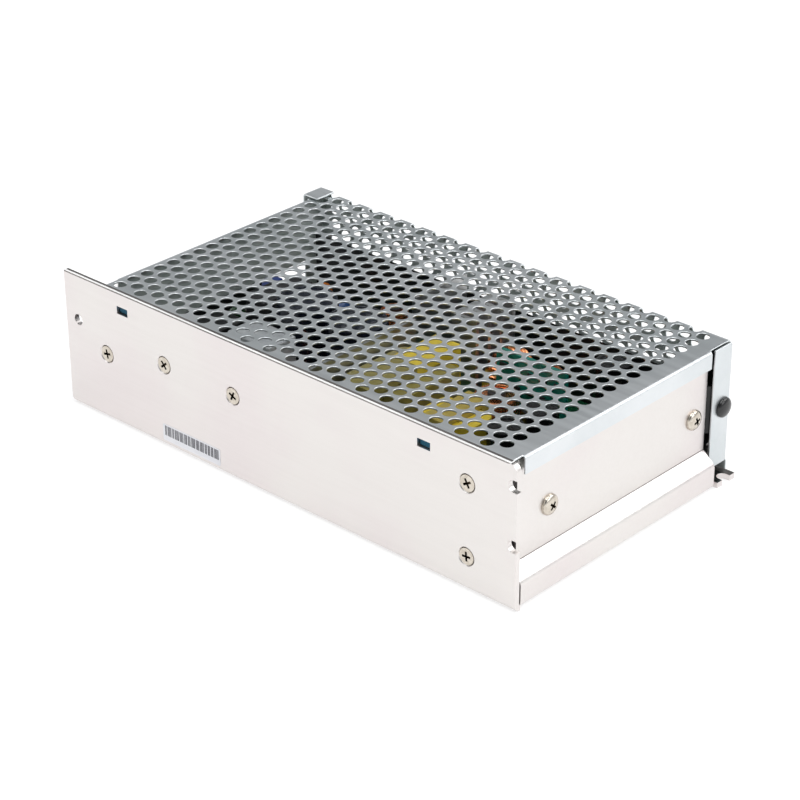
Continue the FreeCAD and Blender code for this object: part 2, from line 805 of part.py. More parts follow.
def terminal_block():
    """The barrier block: a stepped body with a wall between every two terminals."""
    y0 = y_front + terminal_front_gap
    y1 = y0 + terminal_count * terminal_pitch + barrier_thickness
    x1 = board_x0 + terminal_depth
    deck = board_top + terminal_deck_height
    top = board_top + terminal_block_height
    body = plate([(board_x0, board_top), (x1, board_top), (x1, top),
                  (x1 - terminal_back, top), (x1 - terminal_back, deck), (board_x0, deck)],
                 "XZ", y0, y1)
    walls = []
    for k in range(terminal_count + 1):
        y = y0 + k * terminal_pitch
        walls.append(plate([(board_x0, deck), (x1 - terminal_back, deck),
                            (x1 - terminal_back, top), (board_x0 + 2.5, top),
                            (board_x0, top - 2.5)], "XZ", y, y + barrier_thickness))
    body = fused([body] + walls)
    holes = [shank_hole(terminal_shank_radius + thread_clearance, terminal_shank_length,
                        terminal_screw_x(), y, deck - terminal_shank_length, (0, 0, 1))
             for y in terminal_places()]
    return body.cut(Part.Compound(holes))


def terminal_clamps():
    """One square clamp plate on the deck of each terminal."""
    deck = board_top + terminal_deck_height
    half = clamp_size / 2
    x = terminal_screw_x()
    plates = []
    for y in terminal_places():
        clamp = block(x - half, x + half, y - half, y + half, deck, deck + clamp_thickness)
        plates.append(clamp.cut(shank_hole(terminal_shank_radius + thread_clearance,
                                           clamp_thickness, x, y, deck, (0, 0, 1))))
    return Part.Compound(plates)


def terminal_screws():
    """One screw through each clamp plate into the block."""
    seat = board_top + terminal_deck_height + clamp_thickness
    length = terminal_shank_length + clamp_thickness - fit_gap
    screw = flat_head(terminal_head_radius, terminal_head_height, terminal_shank_radius,
                      length)
    return Part.Compound([placed(screw.copy(), terminal_screw_x(), y, seat, (0, 0, 1))
                          for y in terminal_places()])


def adjuster_y():
    """The middle of the output voltage adjuster."""
    block_end = terminal_places()[-1] + terminal_pitch / 2 + barrier_thickness / 2
    return block_end + adjuster_gap + adjuster_width / 2


def adjuster_body():
    """The square trimmer body, with the blind hole that its rotor turns in."""
    y = adjuster_y()
    x = board_x0 + adjuster_inset
    body = block(x, x + adjuster_depth, y - adjuster_width / 2, y + adjuster_width / 2,
                 board_top, board_top + adjuster_height)
    return body.cut(rod(rotor_radius + rotor_clearance, rotor_depth + rotor_clearance, x, y,
                        board_top + adjuster_axis_height, (1, 0, 0)))


def adjuster_rotor():
    """The slotted disc that sets the output voltage."""
    y = adjuster_y()
    x = board_x0 + adjuster_inset + rotor_depth - rotor_length
    z = board_top + adjuster_axis_height
    disc = rod(rotor_radius, rotor_length, x, y, z, (1, 0, 0))
    half = rotor_radius * 0.75
    thin = rotor_slot_width / 2
    slots = [block(x, x + rotor_slot_depth, y - half, y + half, z - thin, z + thin),
             block(x, x + rotor_slot_depth, y - thin, y + thin, z - half, z + half)]
    return disc.cut(Part.Compound(slots))


def power_lamp():
    """The round indicator beside the adjuster."""
    x = board_x0 + adjuster_inset
    y = adjuster_y() - adjuster_width / 2 - lamp_gap
    lamp = stepped([(lamp_radius, 0), (lamp_radius, lamp_height - lamp_radius * 0.6),
                    (lamp_radius * 0.5, lamp_height)])
    return placed(lamp, x, y, board_top, (0, 0, 1))


def on_board(share_x, share_y):
    """A place on the board, as shares of its length and width from the near left corner."""
    return board_x0 + share_x * board_length, board_y0 + share_y * board_width


def standing_block(size, share_x, share_y):
    """A box-shaped part that stands on the board."""
    x, y = on_board(share_x, share_y)
    return block(x - size[0] / 2, x + size[0] / 2, y - size[1] / 2, y + size[1] / 2,
                 board_top, board_top + size[2])


def can(radius, height, share_x, share_y):
    """An electrolytic capacitor standing on the board."""
    x, y = on_board(share_x, share_y)
    return bar(radius, height, x, y, board_top, (0, 0, 1))


def disc_part(share_x, share_y, shift=0):
    """A dipped disc standing on edge, with its two leads down to the board."""
    x, y = on_board(share_x, share_y)
    x += shift
    axis = board_top + disc_height - disc_radius
    disc = bar(disc_radius, disc_thickness, x - disc_thickness / 2, y, axis, (1, 0, 0))
    leads = [block(x - lead_thickness / 2, x + lead_thickness / 2,
                   y + side * lead_pitch - lead_thickness / 2,
                   y + side * lead_pitch + lead_thickness / 2, board_top, axis)
             for side in (-1, 1)]
    return fused([disc] + leads)


def window_core(size, thickness, leg, share_x, share_y):
    """A ferrite core closed round two windows, its middle leg upright."""
    x, y = on_board(share_x, share_y)
    frame = block(x - thickness / 2, x + thickness / 2, y - size[1] / 2, y + size[1] / 2,
                  board_top, board_top + size[2])
    outer = size[1] / 2 - leg
    windows = [block(x - thickness / 2, x + thickness / 2, y + low, y + high,
                     board_top + leg / 2, board_top + size[2] - leg / 2)
               for low, high in ((-outer, -leg), (leg, outer))]
    return frame.cut(Part.Compound(windows))


def taped_winding(size, thickness, leg, share_x, share_y):
    """The taped coil round a window core's middle leg, with rounded corners."""
    x, y = on_board(share_x, share_y)
    half_x = size[0] / 2
    half_y = size[1] / 2 - leg - winding_gap
    low = board_top + leg / 2 + winding_gap
    height = size[2] - leg - 2 * winding_gap
    coil = block(x - half_x, x + half_x, y - half_y, y + half_y, low, low + height)
    upright = [edge for edge in coil.Edges
               if abs(edge.Vertexes[0].Point.z - edge.Vertexes[1].Point.z) > height / 2]
    coil = coil.makeFillet(min(winding_round, half_y / 2), upright)
    bore_x = thickness / 2 + winding_gap
    bore_y = leg + winding_gap
    return coil.cut(block(x - bore_x, x + bore_x, y - bore_y, y + bore_y, low, low + height))


def ring_points(radius, facets, turns, y, z):
    """Points round a circle in the YZ plane, from the bottom, over part of a turn."""
    sweep = 2 * math.pi * turns
    start = -math.pi / 2 + (2 * math.pi - sweep) / 2
    return [(y + radius * math.cos(start + sweep * k / facets),
             z + radius * math.sin(start + sweep * k / facets)) for k in range(facets + 1)]


def ring_axis(radius):
    """The height of a wound ring's middle, with the ends of its winding on the board."""
    open_share = 1 - ring_winding_facets / ring_facets
    return board_top + radius * math.cos(math.pi * open_share)


def ring_core(radius, share_x, share_y):
    """The powder ring of a toroidal choke, upright on the board."""
    x, y = on_board(share_x, share_y)
    z = ring_axis(radius)
    half = ring_thickness / 2 - wire_build - winding_gap
    outer = radius - wire_build - winding_gap
    inner = radius - ring_build + winding_gap
    wires = [outline(ring_points(r, ring_facets, 1.0, y, z)[:-1], "YZ", x - half)
             for r in (outer, inner)]
    ring = Part.Face(wires[0]).cut(Part.Face(wires[1]))
    return ring.extrude(FreeCAD.Vector(2 * half, 0, 0)).Solids[0]


def ring_winding(radius, share_x, share_y):
    """The wire wound on a ring, closed over most of its turn and open at the bottom."""
    x, y = on_board(share_x, share_y)
    z = ring_axis(radius)
    share = ring_winding_facets / ring_facets

    def sector(outer, inner, half):
        around = ring_points(outer, ring_winding_facets, share, y, z)
        back = ring_points(inner, ring_winding_facets, share, y, z)[::-1]
        return plate(around + back, "YZ", x - half, x + half)

    hull = sector(radius, radius - ring_build - wire_build, ring_thickness / 2)
    space = sector(radius - wire_build, radius - ring_build, ring_thickness / 2 - wire_build)
    return hull.cut(space)


def choke_rod(radius, height, share_x, share_y):
    """The ferrite rod of an upright choke."""
    x, y = on_board(share_x, share_y)
    return bar(min(choke_rod_radius, radius / 2), height + choke_rod_proud, x, y, board_top,
               (0, 0, 1))


def choke_coil(radius, height, share_x, share_y):
    """The coil round an upright choke's rod."""
    x, y = on_board(share_x, share_y)
    bore = min(choke_rod_radius, radius / 2) / math.cos(math.pi / 8) + winding_gap
    coil = bar(radius, height, x, y, board_top, (0, 0, 1))
    return coil.cut(shank_hole(bore, height, x, y, board_top, (0, 0, 1)))


def heat_plate(length, share_x, share_y):
    """A flat aluminium plate that stands along Y."""
    return standing_block((heat_plate_thickness, length, heat_plate_height), share_x, share_y)


def fin_block(share_x, share_y):
    """An extruded heat sink: a back plate and fins, standing on the board."""
    x, y = on_board(share_x, share_y)
    size_x, size_y, size_z = fin_block_size
    x0 = x - size_x / 2
    y0 = y - size_y / 2
    gap = (size_y - fin_count * fin_thickness) / (fin_count - 1)
    corners = [(x0, y0), (x0 + size_x, y0)]
    for k in range(fin_count - 1):
        low = y0 + fin_thickness + k * (fin_thickness + gap)
        corners += [(x0 + size_x, low), (x0 + fin_root, low), (x0 + fin_root, low + gap),
                    (x0 + size_x, low + gap)]
    corners += [(x0 + size_x, y0 + size_y), (x0, y0 + size_y)]
    return plate(corners, "XY", board_top, board_top + size_z)


def wall_part(size, hole_drop, x, hole_z, legs):
    """A flat power part bolted to the front wall, with its legs down to the board."""
    y0 = wall_inner + pad_thickness
    top = hole_z + hole_drop
    body = block(x - size[0] / 2, x + size[0] / 2, y0, y0 + size[1], top - size[2], top)
    middle = y0 + size[1] / 2
    pieces = [body]
    for k in range(legs):
        leg_x = x + (k - (legs - 1) / 2) * lead_pitch
        pieces.append(block(leg_x - lead_width / 2, leg_x + lead_width / 2,
                            middle - lead_thickness / 2, middle + lead_thickness / 2,
                            board_top, top - size[2]))
    hole = shank_hole(screw_radius + screw_clearance, size[1], x, y0, hole_z, (0, 1, 0))
    return fused(pieces).cut(hole)


def wall_pads():
    """One thin insulating pad behind each power part on the front wall."""
    pads = []
    for k, (x, z) in enumerate(screw_places()[:len(transistor_screw_insets) + 1]):
        size = rectifier_size if k == 0 else transistor_size
        drop = rectifier_hole_drop if k == 0 else transistor_hole_drop
        top = z + drop + pad_margin
        pad = block(x - size[0] / 2 - pad_margin, x + size[0] / 2 + pad_margin, wall_inner,
                    wall_inner + pad_thickness, top - size[2] - 2 * pad_margin, top)
        pads.append(pad.cut(shank_hole(screw_radius + screw_clearance, pad_thickness,
                                       x, wall_inner, z, (0, 1, 0))))
    return Part.Compound(pads)


def wall_nuts():
    """One nut on each screw that holds a power part."""
    y = wall_inner + pad_thickness + transistor_size[1]
    return Part.Compound([hex_column(nut_flats, nut_height, screw_radius + thread_clearance,
                                     x, y, z, (0, 1, 0))
                          for x, z in screw_places()[:len(transistor_screw_insets) + 1]])


def plate_part(share_x, share_y):
    """The output rectifier, flat against the back of the finned heat sink."""
    x, y = on_board(share_x, share_y)
    width, thickness, height = transistor_size
    face = x - fin_block_size[0] / 2
    foot = board_top + fin_block_size[2] / 4
    body = block(face - thickness, face, y - width / 2, y + width / 2, foot, foot + height)
    pieces = [body]
    for k in (-1, 0, 1):
        leg_y = y + k * lead_pitch
        pieces.append(block(face - thickness / 2 - lead_thickness / 2,
                            face - thickness / 2 + lead_thickness / 2,
                            leg_y - lead_width / 2, leg_y + lead_width / 2, board_top, foot))
    return fused(pieces)


def inlet_fuse(share_x, share_y):
    """A round fuse lying along Y, with its two square caps standing on the board."""
    x, y = on_board(share_x, share_y)
    z = board_top + fuse_lift + fuse_radius
    y0 = y - fuse_length / 2
    tube = bar(fuse_radius, fuse_length, x, y0, z, (0, 1, 0))
    caps = []
    for start in (y0, y0 + fuse_length - fuse_cap_length):
        caps.append(block(x - fuse_radius, x + fuse_radius, start, start + fuse_cap_length,
                          board_top, z + fuse_radius))
    return fused([tube] + caps)


os.makedirs("parts", exist_ok=True)
save("chassis", chassis())
save("mesh_cover", mesh_cover())
save("front_corner_bracket", front_corner_bracket())
save("rear_corner_bracket", rear_corner_bracket())
save("countersunk_screws", countersunk_screws())
save("pan_head_screws", pan_head_screws())
save("cover_screws", cover_screws())
save("snap_rivet", snap_rivet())
save("bar_sticker", bar_sticker())

save("insulating_sheet", insulating_sheet())
save("board_standoffs", board_standoffs())
save("circuit_board", circuit_board())
save("board_screws", board_screws())
save("terminal_block", terminal_block())
save("terminal_clamps", terminal_clamps())
save("terminal_screws", terminal_screws())
save("adjuster_body", adjuster_body())
save("adjuster_rotor", adjuster_rotor())
save("power_lamp", power_lamp())

# Filter end of the board, next to the terminals
save("inlet_fuse", inlet_fuse(0.099, 0.29))
save("thermistor", disc_part(0.172, 0.54, -(line_choke_size[0] + disc_thickness) / 2 - part_gap))
save("film_capacitor", standing_block(film_size, 0.161, 0.31))
save("line_choke_core", window_core(line_choke_size, line_choke_core_thickness, line_choke_leg,
                                    0.172, 0.634))
save("line_choke_winding", taped_winding(line_choke_size, line_choke_core_thickness,
                                         line_choke_leg, 0.172, 0.634))
save("orange_disc_capacitor", disc_part(0.155, 0.869))
save("blue_disc_capacitor", disc_part(0.241, 0.815))
save("grey_film_capacitor", standing_block(grey_film_size, 0.311, 0.301))
save("filter_ring_core", ring_core(filter_ring_radius, 0.410, 0.281))
save("filter_ring_winding", ring_winding(filter_ring_radius, 0.410, 0.281))
save("small_choke_rod", choke_rod(small_choke_radius, small_choke_height, 0.351, 0.860))
save("small_choke_coil", choke_coil(small_choke_radius, small_choke_height, 0.351, 0.860))

# Storage, power parts and heat plates
for k, share in enumerate((0.327, 0.450)):
    save("bulk_capacitor_" + str(k + 1), can(bulk_radius, bulk_height, share, 0.487))
for k, (share_x, share_y) in enumerate(((0.523, 0.369), (0.464, 0.859))):
    save("heat_plate_" + str(k + 1), heat_plate(heat_plate_lengths[k], share_x, share_y))
save("bridge_rectifier", wall_part(rectifier_size, rectifier_hole_drop,
                                   screw_places()[0][0], rectifier_screw_height, 4))
for k, (x, z) in enumerate(screw_places()[1:len(transistor_screw_insets) + 1]):
    save("power_transistor_" + str(k + 1), wall_part(transistor_size, transistor_hole_drop,
                                                     x, z, 3))
save("wall_pads", wall_pads())
save("wall_nuts", wall_nuts())

# Transformers and output side
save("main_core", window_core(main_size, main_core_thickness, main_leg, 0.609, 0.389))
save("main_winding", taped_winding(main_size, main_core_thickness, main_leg, 0.609, 0.389))
save("second_core", window_core(second_size, second_core_thickness, second_leg, 0.756, 0.340))
save("second_winding", taped_winding(second_size, second_core_thickness, second_leg,
                                     0.756, 0.340))
save("output_heat_sink", fin_block(0.5925, 0.810))
save("output_rectifier", plate_part(0.5925, 0.810))
save("output_ring_core", ring_core(output_ring_radius, 0.657, 0.800))
save("output_ring_winding", ring_winding(output_ring_radius, 0.657, 0.800))
for k, share_y in enumerate((0.565, 0.781)):
    save("choke_rod_" + str(k + 1), choke_rod(choke_radius, choke_height, 0.740, share_y))
    save("choke_coil_" + str(k + 1), choke_coil(choke_radius, choke_height, 0.740, share_y))
save("control_board", standing_block(control_board_size, 0.769, 0.673))
output_places = ((0.858, 0.359), (0.858, 0.516), (0.941, 0.438), (0.941, 0.594), (0.842, 0.918))
for k, (share_x, share_y) in enumerate(output_places):
    save("output_capacitor_" + str(k + 1), can(output_radius, output_height, share_x, share_y))
print(part_count, "nodes written")
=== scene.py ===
# %% [markdown]
# # A mesh case switching power supply
#
# The case is a folded aluminium tray with one long wall, closed by a zinc plated sheet that
# is punched all over with round holes. The board and its parts show through the holes, and
# the screw terminals stand in the open end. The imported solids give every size, so this
# lesson adds what they leave out: the true pattern of holes, soft edges, screw heads,
# wire turns, and a finish for every surface.
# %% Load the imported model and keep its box
import json
import math
import random

import bmesh
import bpy
from mathutils import Matrix, Vector

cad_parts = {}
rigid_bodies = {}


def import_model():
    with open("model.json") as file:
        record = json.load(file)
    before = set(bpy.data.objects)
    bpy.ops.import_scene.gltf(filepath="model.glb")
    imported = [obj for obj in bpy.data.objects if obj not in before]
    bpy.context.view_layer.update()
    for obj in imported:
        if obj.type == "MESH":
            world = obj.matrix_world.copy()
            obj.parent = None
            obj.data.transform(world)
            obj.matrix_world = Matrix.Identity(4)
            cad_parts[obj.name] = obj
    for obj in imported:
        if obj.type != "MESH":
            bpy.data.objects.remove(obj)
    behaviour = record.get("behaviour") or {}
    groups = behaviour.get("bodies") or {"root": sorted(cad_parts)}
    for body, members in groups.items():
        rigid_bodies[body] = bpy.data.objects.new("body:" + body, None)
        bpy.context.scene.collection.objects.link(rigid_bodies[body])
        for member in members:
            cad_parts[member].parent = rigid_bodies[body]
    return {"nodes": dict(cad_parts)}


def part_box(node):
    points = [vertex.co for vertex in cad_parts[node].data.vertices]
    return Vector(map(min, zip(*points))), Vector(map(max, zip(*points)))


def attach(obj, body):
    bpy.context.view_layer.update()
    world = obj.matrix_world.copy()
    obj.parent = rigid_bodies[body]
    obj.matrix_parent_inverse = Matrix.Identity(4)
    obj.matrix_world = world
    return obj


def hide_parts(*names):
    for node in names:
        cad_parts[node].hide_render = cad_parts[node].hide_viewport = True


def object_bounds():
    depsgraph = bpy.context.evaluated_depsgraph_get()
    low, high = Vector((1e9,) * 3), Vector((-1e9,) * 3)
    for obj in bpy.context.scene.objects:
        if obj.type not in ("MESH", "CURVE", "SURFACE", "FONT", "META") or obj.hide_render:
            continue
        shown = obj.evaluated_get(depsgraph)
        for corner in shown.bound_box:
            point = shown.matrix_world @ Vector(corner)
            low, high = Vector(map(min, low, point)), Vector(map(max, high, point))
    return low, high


MM = 0.001
for obj in list(bpy.data.objects):
    bpy.data.objects.remove(obj)
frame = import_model()
cad_low, cad_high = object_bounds()
print("solid model, mm:", [round(v / MM, 2) for v in (*cad_low, *cad_high)])

# %% [markdown]
# ## Working in edit mode without a window
#
# An operator acts on whatever is selected, so each step starts by clearing the selection.
# Vertices, edges and faces are then chosen by where they are. The middle of each one is
# handed to a small test in millimetres, which reads like pointing at it in the viewport.
# %% Open a piece, pick parts of it and extrude them
def start(obj=None):
    """Leaves one piece selected, or none, in object mode."""
    if bpy.context.object is not None and bpy.context.object.mode != "OBJECT":
        bpy.ops.object.mode_set(mode="OBJECT")
    bpy.ops.object.select_all(action="DESELECT")
    if obj is not None:
        bpy.context.view_layer.objects.active = obj
        obj.select_set(True)


def edit(obj):
    """Opens a piece in edit mode."""
    start(obj)
    bpy.ops.object.mode_set(mode="EDIT")


def middle_of(part):
    """The middle of a vertex, edge or face, in mm."""
    if isinstance(part, bmesh.types.BMVert):
        return part.co / MM
    if isinstance(part, bmesh.types.BMEdge):
        return (part.verts[0].co + part.verts[1].co) / 2 / MM
    return part.calc_center_median() / MM


def pick(kind, test):
    """Selects the vertices, edges or faces whose middle passes a test, and counts them."""
    bpy.ops.mesh.select_mode(type=kind)
    bpy.ops.mesh.select_all(action="DESELECT")
    mesh = bpy.context.object.data
    work = bmesh.from_edit_mesh(mesh)
    parts = {"VERT": work.verts, "EDGE": work.edges, "FACE": work.faces}[kind]
    chosen = [part for part in parts if test(middle_of(part), part)]
    for part in chosen:
        part.select_set(True)
    bmesh.update_edit_mesh(mesh)
    return len(chosen)


def near(a, b):
    """True where two places in mm are the same."""
    return abs(a - b) < 0.01


def extrude(x=0.0, y=0.0, z=0.0):
    """Extrudes the selection by a distance in mm."""
    bpy.ops.mesh.extrude_region_move(
        TRANSFORM_OT_translate={"value": (x * MM, y * MM, z * MM)})


# %% [markdown]
# ## Modifiers, copies and the last steps of every piece
#
# The case is bent sheet with rounded edges, and many of its parts come in sets. A modifier
# does such work evenly, and it is applied at once so that the next step can pick what it
# made. Copies are placed by a matrix and joined, which keeps a set of screws one piece.
# %% Apply modifiers, join copies and finish a piece
sharp_angle, smooth_angle = 40, 35
merge_distance = 0.002


def modify(obj, kind, **settings):
    """Adds a modifier to a piece, sets it and applies it."""
    start(obj)
    modifier = obj.modifiers.new(kind, kind)
    for name, value in settings.items():
        setattr(modifier, name, value)
    bpy.ops.object.modifier_apply(modifier=modifier.name)


def round_edges(obj, width, segments):
    """Rounds every edge of a piece that is sharper than an angle."""
    modify(obj, "BEVEL", width=width * MM, segments=segments, limit_method="ANGLE",
           angle_limit=math.radians(sharp_angle))


def block(size, centre, bevel=0.0, segments=2):
    """A box of a size in mm round a middle, with its edges bevelled."""
    start()
    bpy.ops.mesh.primitive_cube_add(size=MM, location=Vector(centre) * MM)
    part = bpy.context.object
    bpy.ops.object.transform_apply(location=True)
    edit(part)
    bpy.ops.mesh.select_all(action="SELECT")
    bpy.ops.transform.resize(value=size, center_override=Vector(centre) * MM)
    start()
    if bevel:
        round_edges(part, bevel, segments)
    return part


def face_outwards(obj):
    """Merges doubled vertices and turns every face of a closed piece outwards."""
    edit(obj)
    bpy.ops.mesh.select_all(action="SELECT")
    bpy.ops.mesh.remove_doubles(threshold=merge_distance * MM)
    bpy.ops.mesh.normals_make_consistent(inside=False)
    start()


def joined(objects):
    """One piece out of several."""
    start(objects[0])
    for obj in objects[1:]:
        obj.select_set(True)
    if len(objects) > 1:
        bpy.ops.object.join()
    return bpy.context.object


def copies(model, matrices):
    """One piece made of a copy of a model at each place. The model itself is used up."""
    made = []
    for matrix in matrices:
        copy = bpy.data.objects.new(model.name, model.data.copy())
        copy.data.transform(matrix)
        bpy.context.scene.collection.objects.link(copy)
        made.append(copy)
    bpy.data.objects.remove(model)
    return joined(made)


def standing(x, y, z, direction=(0, 0, 1), spin=0):
    """The matrix that puts a model drawn about the Z axis at a place, along a direction
    and turned about itself by an angle in degrees."""
    lean = Vector(direction).to_track_quat("Z", "Y").to_matrix().to_4x4()
    own_turn = Matrix.Rotation(math.radians(spin), 4, "Z")
    return Matrix.Translation(Vector((x, y, z)) * MM) @ lean @ own_turn


def finish_piece(obj, name, finish, replaced=(), body="housing"):
    """Names a piece, shades it, gives it its finish and ties it to the frame."""
    start(obj)
    bpy.ops.object.transform_apply(location=True, rotation=True, scale=True)
    bpy.ops.object.shade_smooth_by_angle(angle=math.radians(smooth_angle))
    modify(obj, "WEIGHTED_NORMAL", keep_sharp=True)
    obj.name = name
    obj.data.name = name
    if finish is not None:
        obj.data.materials.clear()
        obj.data.materials.append(finish)
    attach(obj, body)
    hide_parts(*replaced)
    print(name, "has", len(obj.data.polygons), "faces")
    return obj


# %% [markdown]
# ## The camera, the floor and the studio
#
# The photograph looks down on the corner where the long wall meets the closed end, from
# about 28 degrees above the table, with a long lens. The surroundings are pure white, so
# the bare metal mirrors white almost everywhere. Only the top of the cover looks away from
# the floor, towards the darker back of the room, and so it is the greyest face of all.
# %% Camera at the photograph's angle
camera_place = Vector((0.4891, -0.5248, 0.3935))
camera_azimuth = 42.82
camera_elevation = 27.84
camera_roll = -0.22
camera_lens = 110.1

bpy.ops.object.camera_add(location=camera_place)
camera = bpy.context.object
camera.name = "photo_camera"
camera.data.lens = camera_lens
camera.data.clip_start = 0.01
azimuth, elevation = math.radians(camera_azimuth), math.radians(camera_elevation)
backwards = Vector((math.sin(azimuth) * math.cos(elevation),
                    -math.cos(azimuth) * math.cos(elevation), math.sin(elevation)))
aim = (-backwards).to_track_quat("-Z", "Y").to_matrix().to_4x4()
camera.matrix_world = (Matrix.Translation(camera_place) @ aim
                       @ Matrix.Rotation(math.radians(camera_roll), 4, "Z"))
bpy.context.scene.camera = camera
print("camera is", round(camera_place.length, 3), "m from the middle of the footprint")

# %% [markdown]
# ## White paper floor
#
# The case stands on paper so bright that hardly a shadow shows. A plane under strong lamps
# would turn white too, but it would also darken beside the case. This paper is a mid grey
# that gives off a little light itself, so it stays white and the contact line stays faint.
# %% Floor
start()
bpy.ops.mesh.primitive_plane_add(size=12.0, location=(0, 0, 0))
floor = bpy.context.object
floor.name = "studio_floor"
floor_finish = bpy.data.materials.new("studio_paper")
floor_finish.use_nodes = True
paper = floor_finish.node_tree.nodes["Principled BSDF"]
paper.inputs["Base Color"].default_value = (0.45, 0.45, 0.45, 1)
paper.inputs["Emission Color"].default_value = (1.0, 1.0, 1.0, 1)
paper.inputs["Emission Strength"].default_value = 0.6
paper.inputs["Roughness"].default_value = 0.9
paper.inputs["Specular IOR Level"].default_value = 0.1
floor.data.materials.append(floor_finish)

# %% [markdown]
# ## Room and lamps
#
# Bare metal shows what stands around it, so the room matters more than the lamps. One ramp
# on the height of a direction paints it: white near the floor, dark at mid height, paler
# overhead. Four large square lamps then give the soft shading of a studio, without edges.
# %% Room light and soft boxes
def soft_box(name, place, target, size, power):
    """A square area light that looks at a point."""
    light = bpy.data.lights.new(name, "AREA")
    light.shape = "SQUARE"
    light.size = size
    light.energy = power
    lamp = bpy.data.objects.new(name, light)
    bpy.context.scene.collection.objects.link(lamp)
    lamp.location = place
    lamp.rotation_euler = (Vector(target) - Vector(place)).to_track_quat("-Z", "Y").to_euler()


world = bpy.data.worlds.new("pale_room")
bpy.context.scene.world = world
world.use_nodes = True
sky = world.node_tree
direction = sky.nodes.new("ShaderNodeTexCoord")
height = sky.nodes.new("ShaderNodeSeparateXYZ")
shades = sky.nodes.new("ShaderNodeValToRGB")
sky.links.new(direction.outputs["Generated"], height.inputs["Vector"])
sky.links.new(height.outputs["Z"], shades.inputs["Fac"])
sky.links.new(shades.outputs["Color"], sky.nodes["Background"].inputs["Color"])
room_shades = ((0.0, (0.95, 0.95, 0.95)), (0.12, (0.80, 0.81, 0.82)), (0.28, (0.42, 0.43, 0.44)),
               (0.45, (0.21, 0.22, 0.225)), (0.75, (0.26, 0.27, 0.275)), (1.0, (0.4, 0.41, 0.42)))
for position, shade in room_shades[1:-1]:
    shades.color_ramp.elements.new(position).color = (*shade, 1)
shades.color_ramp.elements[0].color = (*room_shades[0][1], 1)
shades.color_ramp.elements[-1].color = (*room_shades[-1][1], 1)
bpy.context.scene.view_settings.view_transform = "Standard"
soft_box("top_box", (0.05, -0.35, 2.0), (0, -0.1, 0), 1.6, 28)
soft_box("back_box", (0.95, 1.2, 1.3), (0.1, 0, 0), 1.4, 15)
soft_box("front_box", (-0.9, -1.7, 1.1), (0, -0.2, 0), 1.2, 7.8)
soft_box("side_box", (1.7, 0.2, 1.1), (0.1, 0, 0), 1.2, 8.6)
print("room with", len(room_shades), "shades and four soft boxes")

# %% [markdown]
# ## Finishes
#
# Four effects come back in many finishes: the fine lines of rolled sheet, the flakes of a
# zinc coat, the skin of moulded or dipped parts, and the laps of wound tape. Each is a node
# group with its own inputs, built once. The groups only put out masks and heights, so the
# shader itself stays in each material, where its colour and gloss can be read at a glance.
# %% Tools for node groups
def colour(red, green, blue):
    """A display colour, 0 to 255, as the linear values that a shader takes."""
    values = [v / 255 for v in (red, green, blue)]
    return [v / 12.92 if v <= 0.04045 else ((v + 0.055) / 1.055) ** 2.4 for v in values]


def new_group(name, inputs, outputs):
    """An empty node group with float or vector inputs and float outputs."""
    group = bpy.data.node_groups.new(name, "ShaderNodeTree")
    for label, value in inputs.items():
        kind = "NodeSocketVector" if isinstance(value, tuple) else "NodeSocketFloat"
        socket = group.interface.new_socket(name=label, in_out="INPUT", socket_type=kind)
        socket.default_value = value
    for label in outputs:
        group.interface.new_socket(name=label, in_out="OUTPUT", socket_type="NodeSocketFloat")
    return group, group.nodes.new("NodeGroupInput"), group.nodes.new("NodeGroupOutput")


def add(tree, kind, **settings):
    """A new node with its properties set."""
    node = tree.nodes.new(kind)
    for name, value in settings.items():
        setattr(node, name, value)
    return node


def stretched_noise(group, given, stretch, scale, detail):
    """A noise on the object's own coordinates, stretched by one input of the group."""
    place = add(group, "ShaderNodeTexCoord")
    spread = add(group, "ShaderNodeVectorMath", operation="MULTIPLY")
    noise = add(group, "ShaderNodeTexNoise")
    noise.inputs["Detail"].default_value = detail
    group.links.new(place.outputs["Object"], spread.inputs[0])
    group.links.new(given.outputs[stretch], spread.inputs[1])
    group.links.new(spread.outputs["Vector"], noise.inputs["Vector"])
    group.links.new(given.outputs[scale], noise.inputs["Scale"])
    return noise


def contrast(group, source, low, high):
    """Spreads the middle of a noise over the whole range from 0 to 1."""
    spread = add(group, "ShaderNodeMapRange", interpolation_type="SMOOTHSTEP")
    spread.inputs["From Min"].default_value = low
    spread.inputs["From Max"].default_value = high
    group.links.new(source, spread.inputs["Value"])
    return spread.outputs["Result"]


# %% [markdown]
# ## Rolled sheet
#
# Mill rolls leave fine lines along a metal sheet, and handling leaves faint cloudy areas. A
# picture of brushed metal would repeat itself; noise that is stretched along one axis does
# not, and its scale is an input, so aluminium and zinc sheet share the group.
# %% Group: rolled sheet
rolled, given, out = new_group(
    "rolled_sheet", {"Stretch": (1.0, 1.0, 1.0), "Line Scale": 900.0, "Cloud Scale": 18.0},
    ["Lines", "Clouds"])
lines = stretched_noise(rolled, given, "Stretch", "Line Scale", 3.0)
rolled.links.new(contrast(rolled, lines.outputs["Fac"], 0.3, 0.7), out.inputs["Lines"])
place = add(rolled, "ShaderNodeTexCoord")
clouds = add(rolled, "ShaderNodeTexNoise")
clouds.inputs["Detail"].default_value = 4.0
rolled.links.new(place.outputs["Object"], clouds.inputs["Vector"])
rolled.links.new(given.outputs["Cloud Scale"], clouds.inputs["Scale"])
rolled.links.new(contrast(rolled, clouds.outputs["Fac"], 0.35, 0.65), out.inputs["Clouds"])

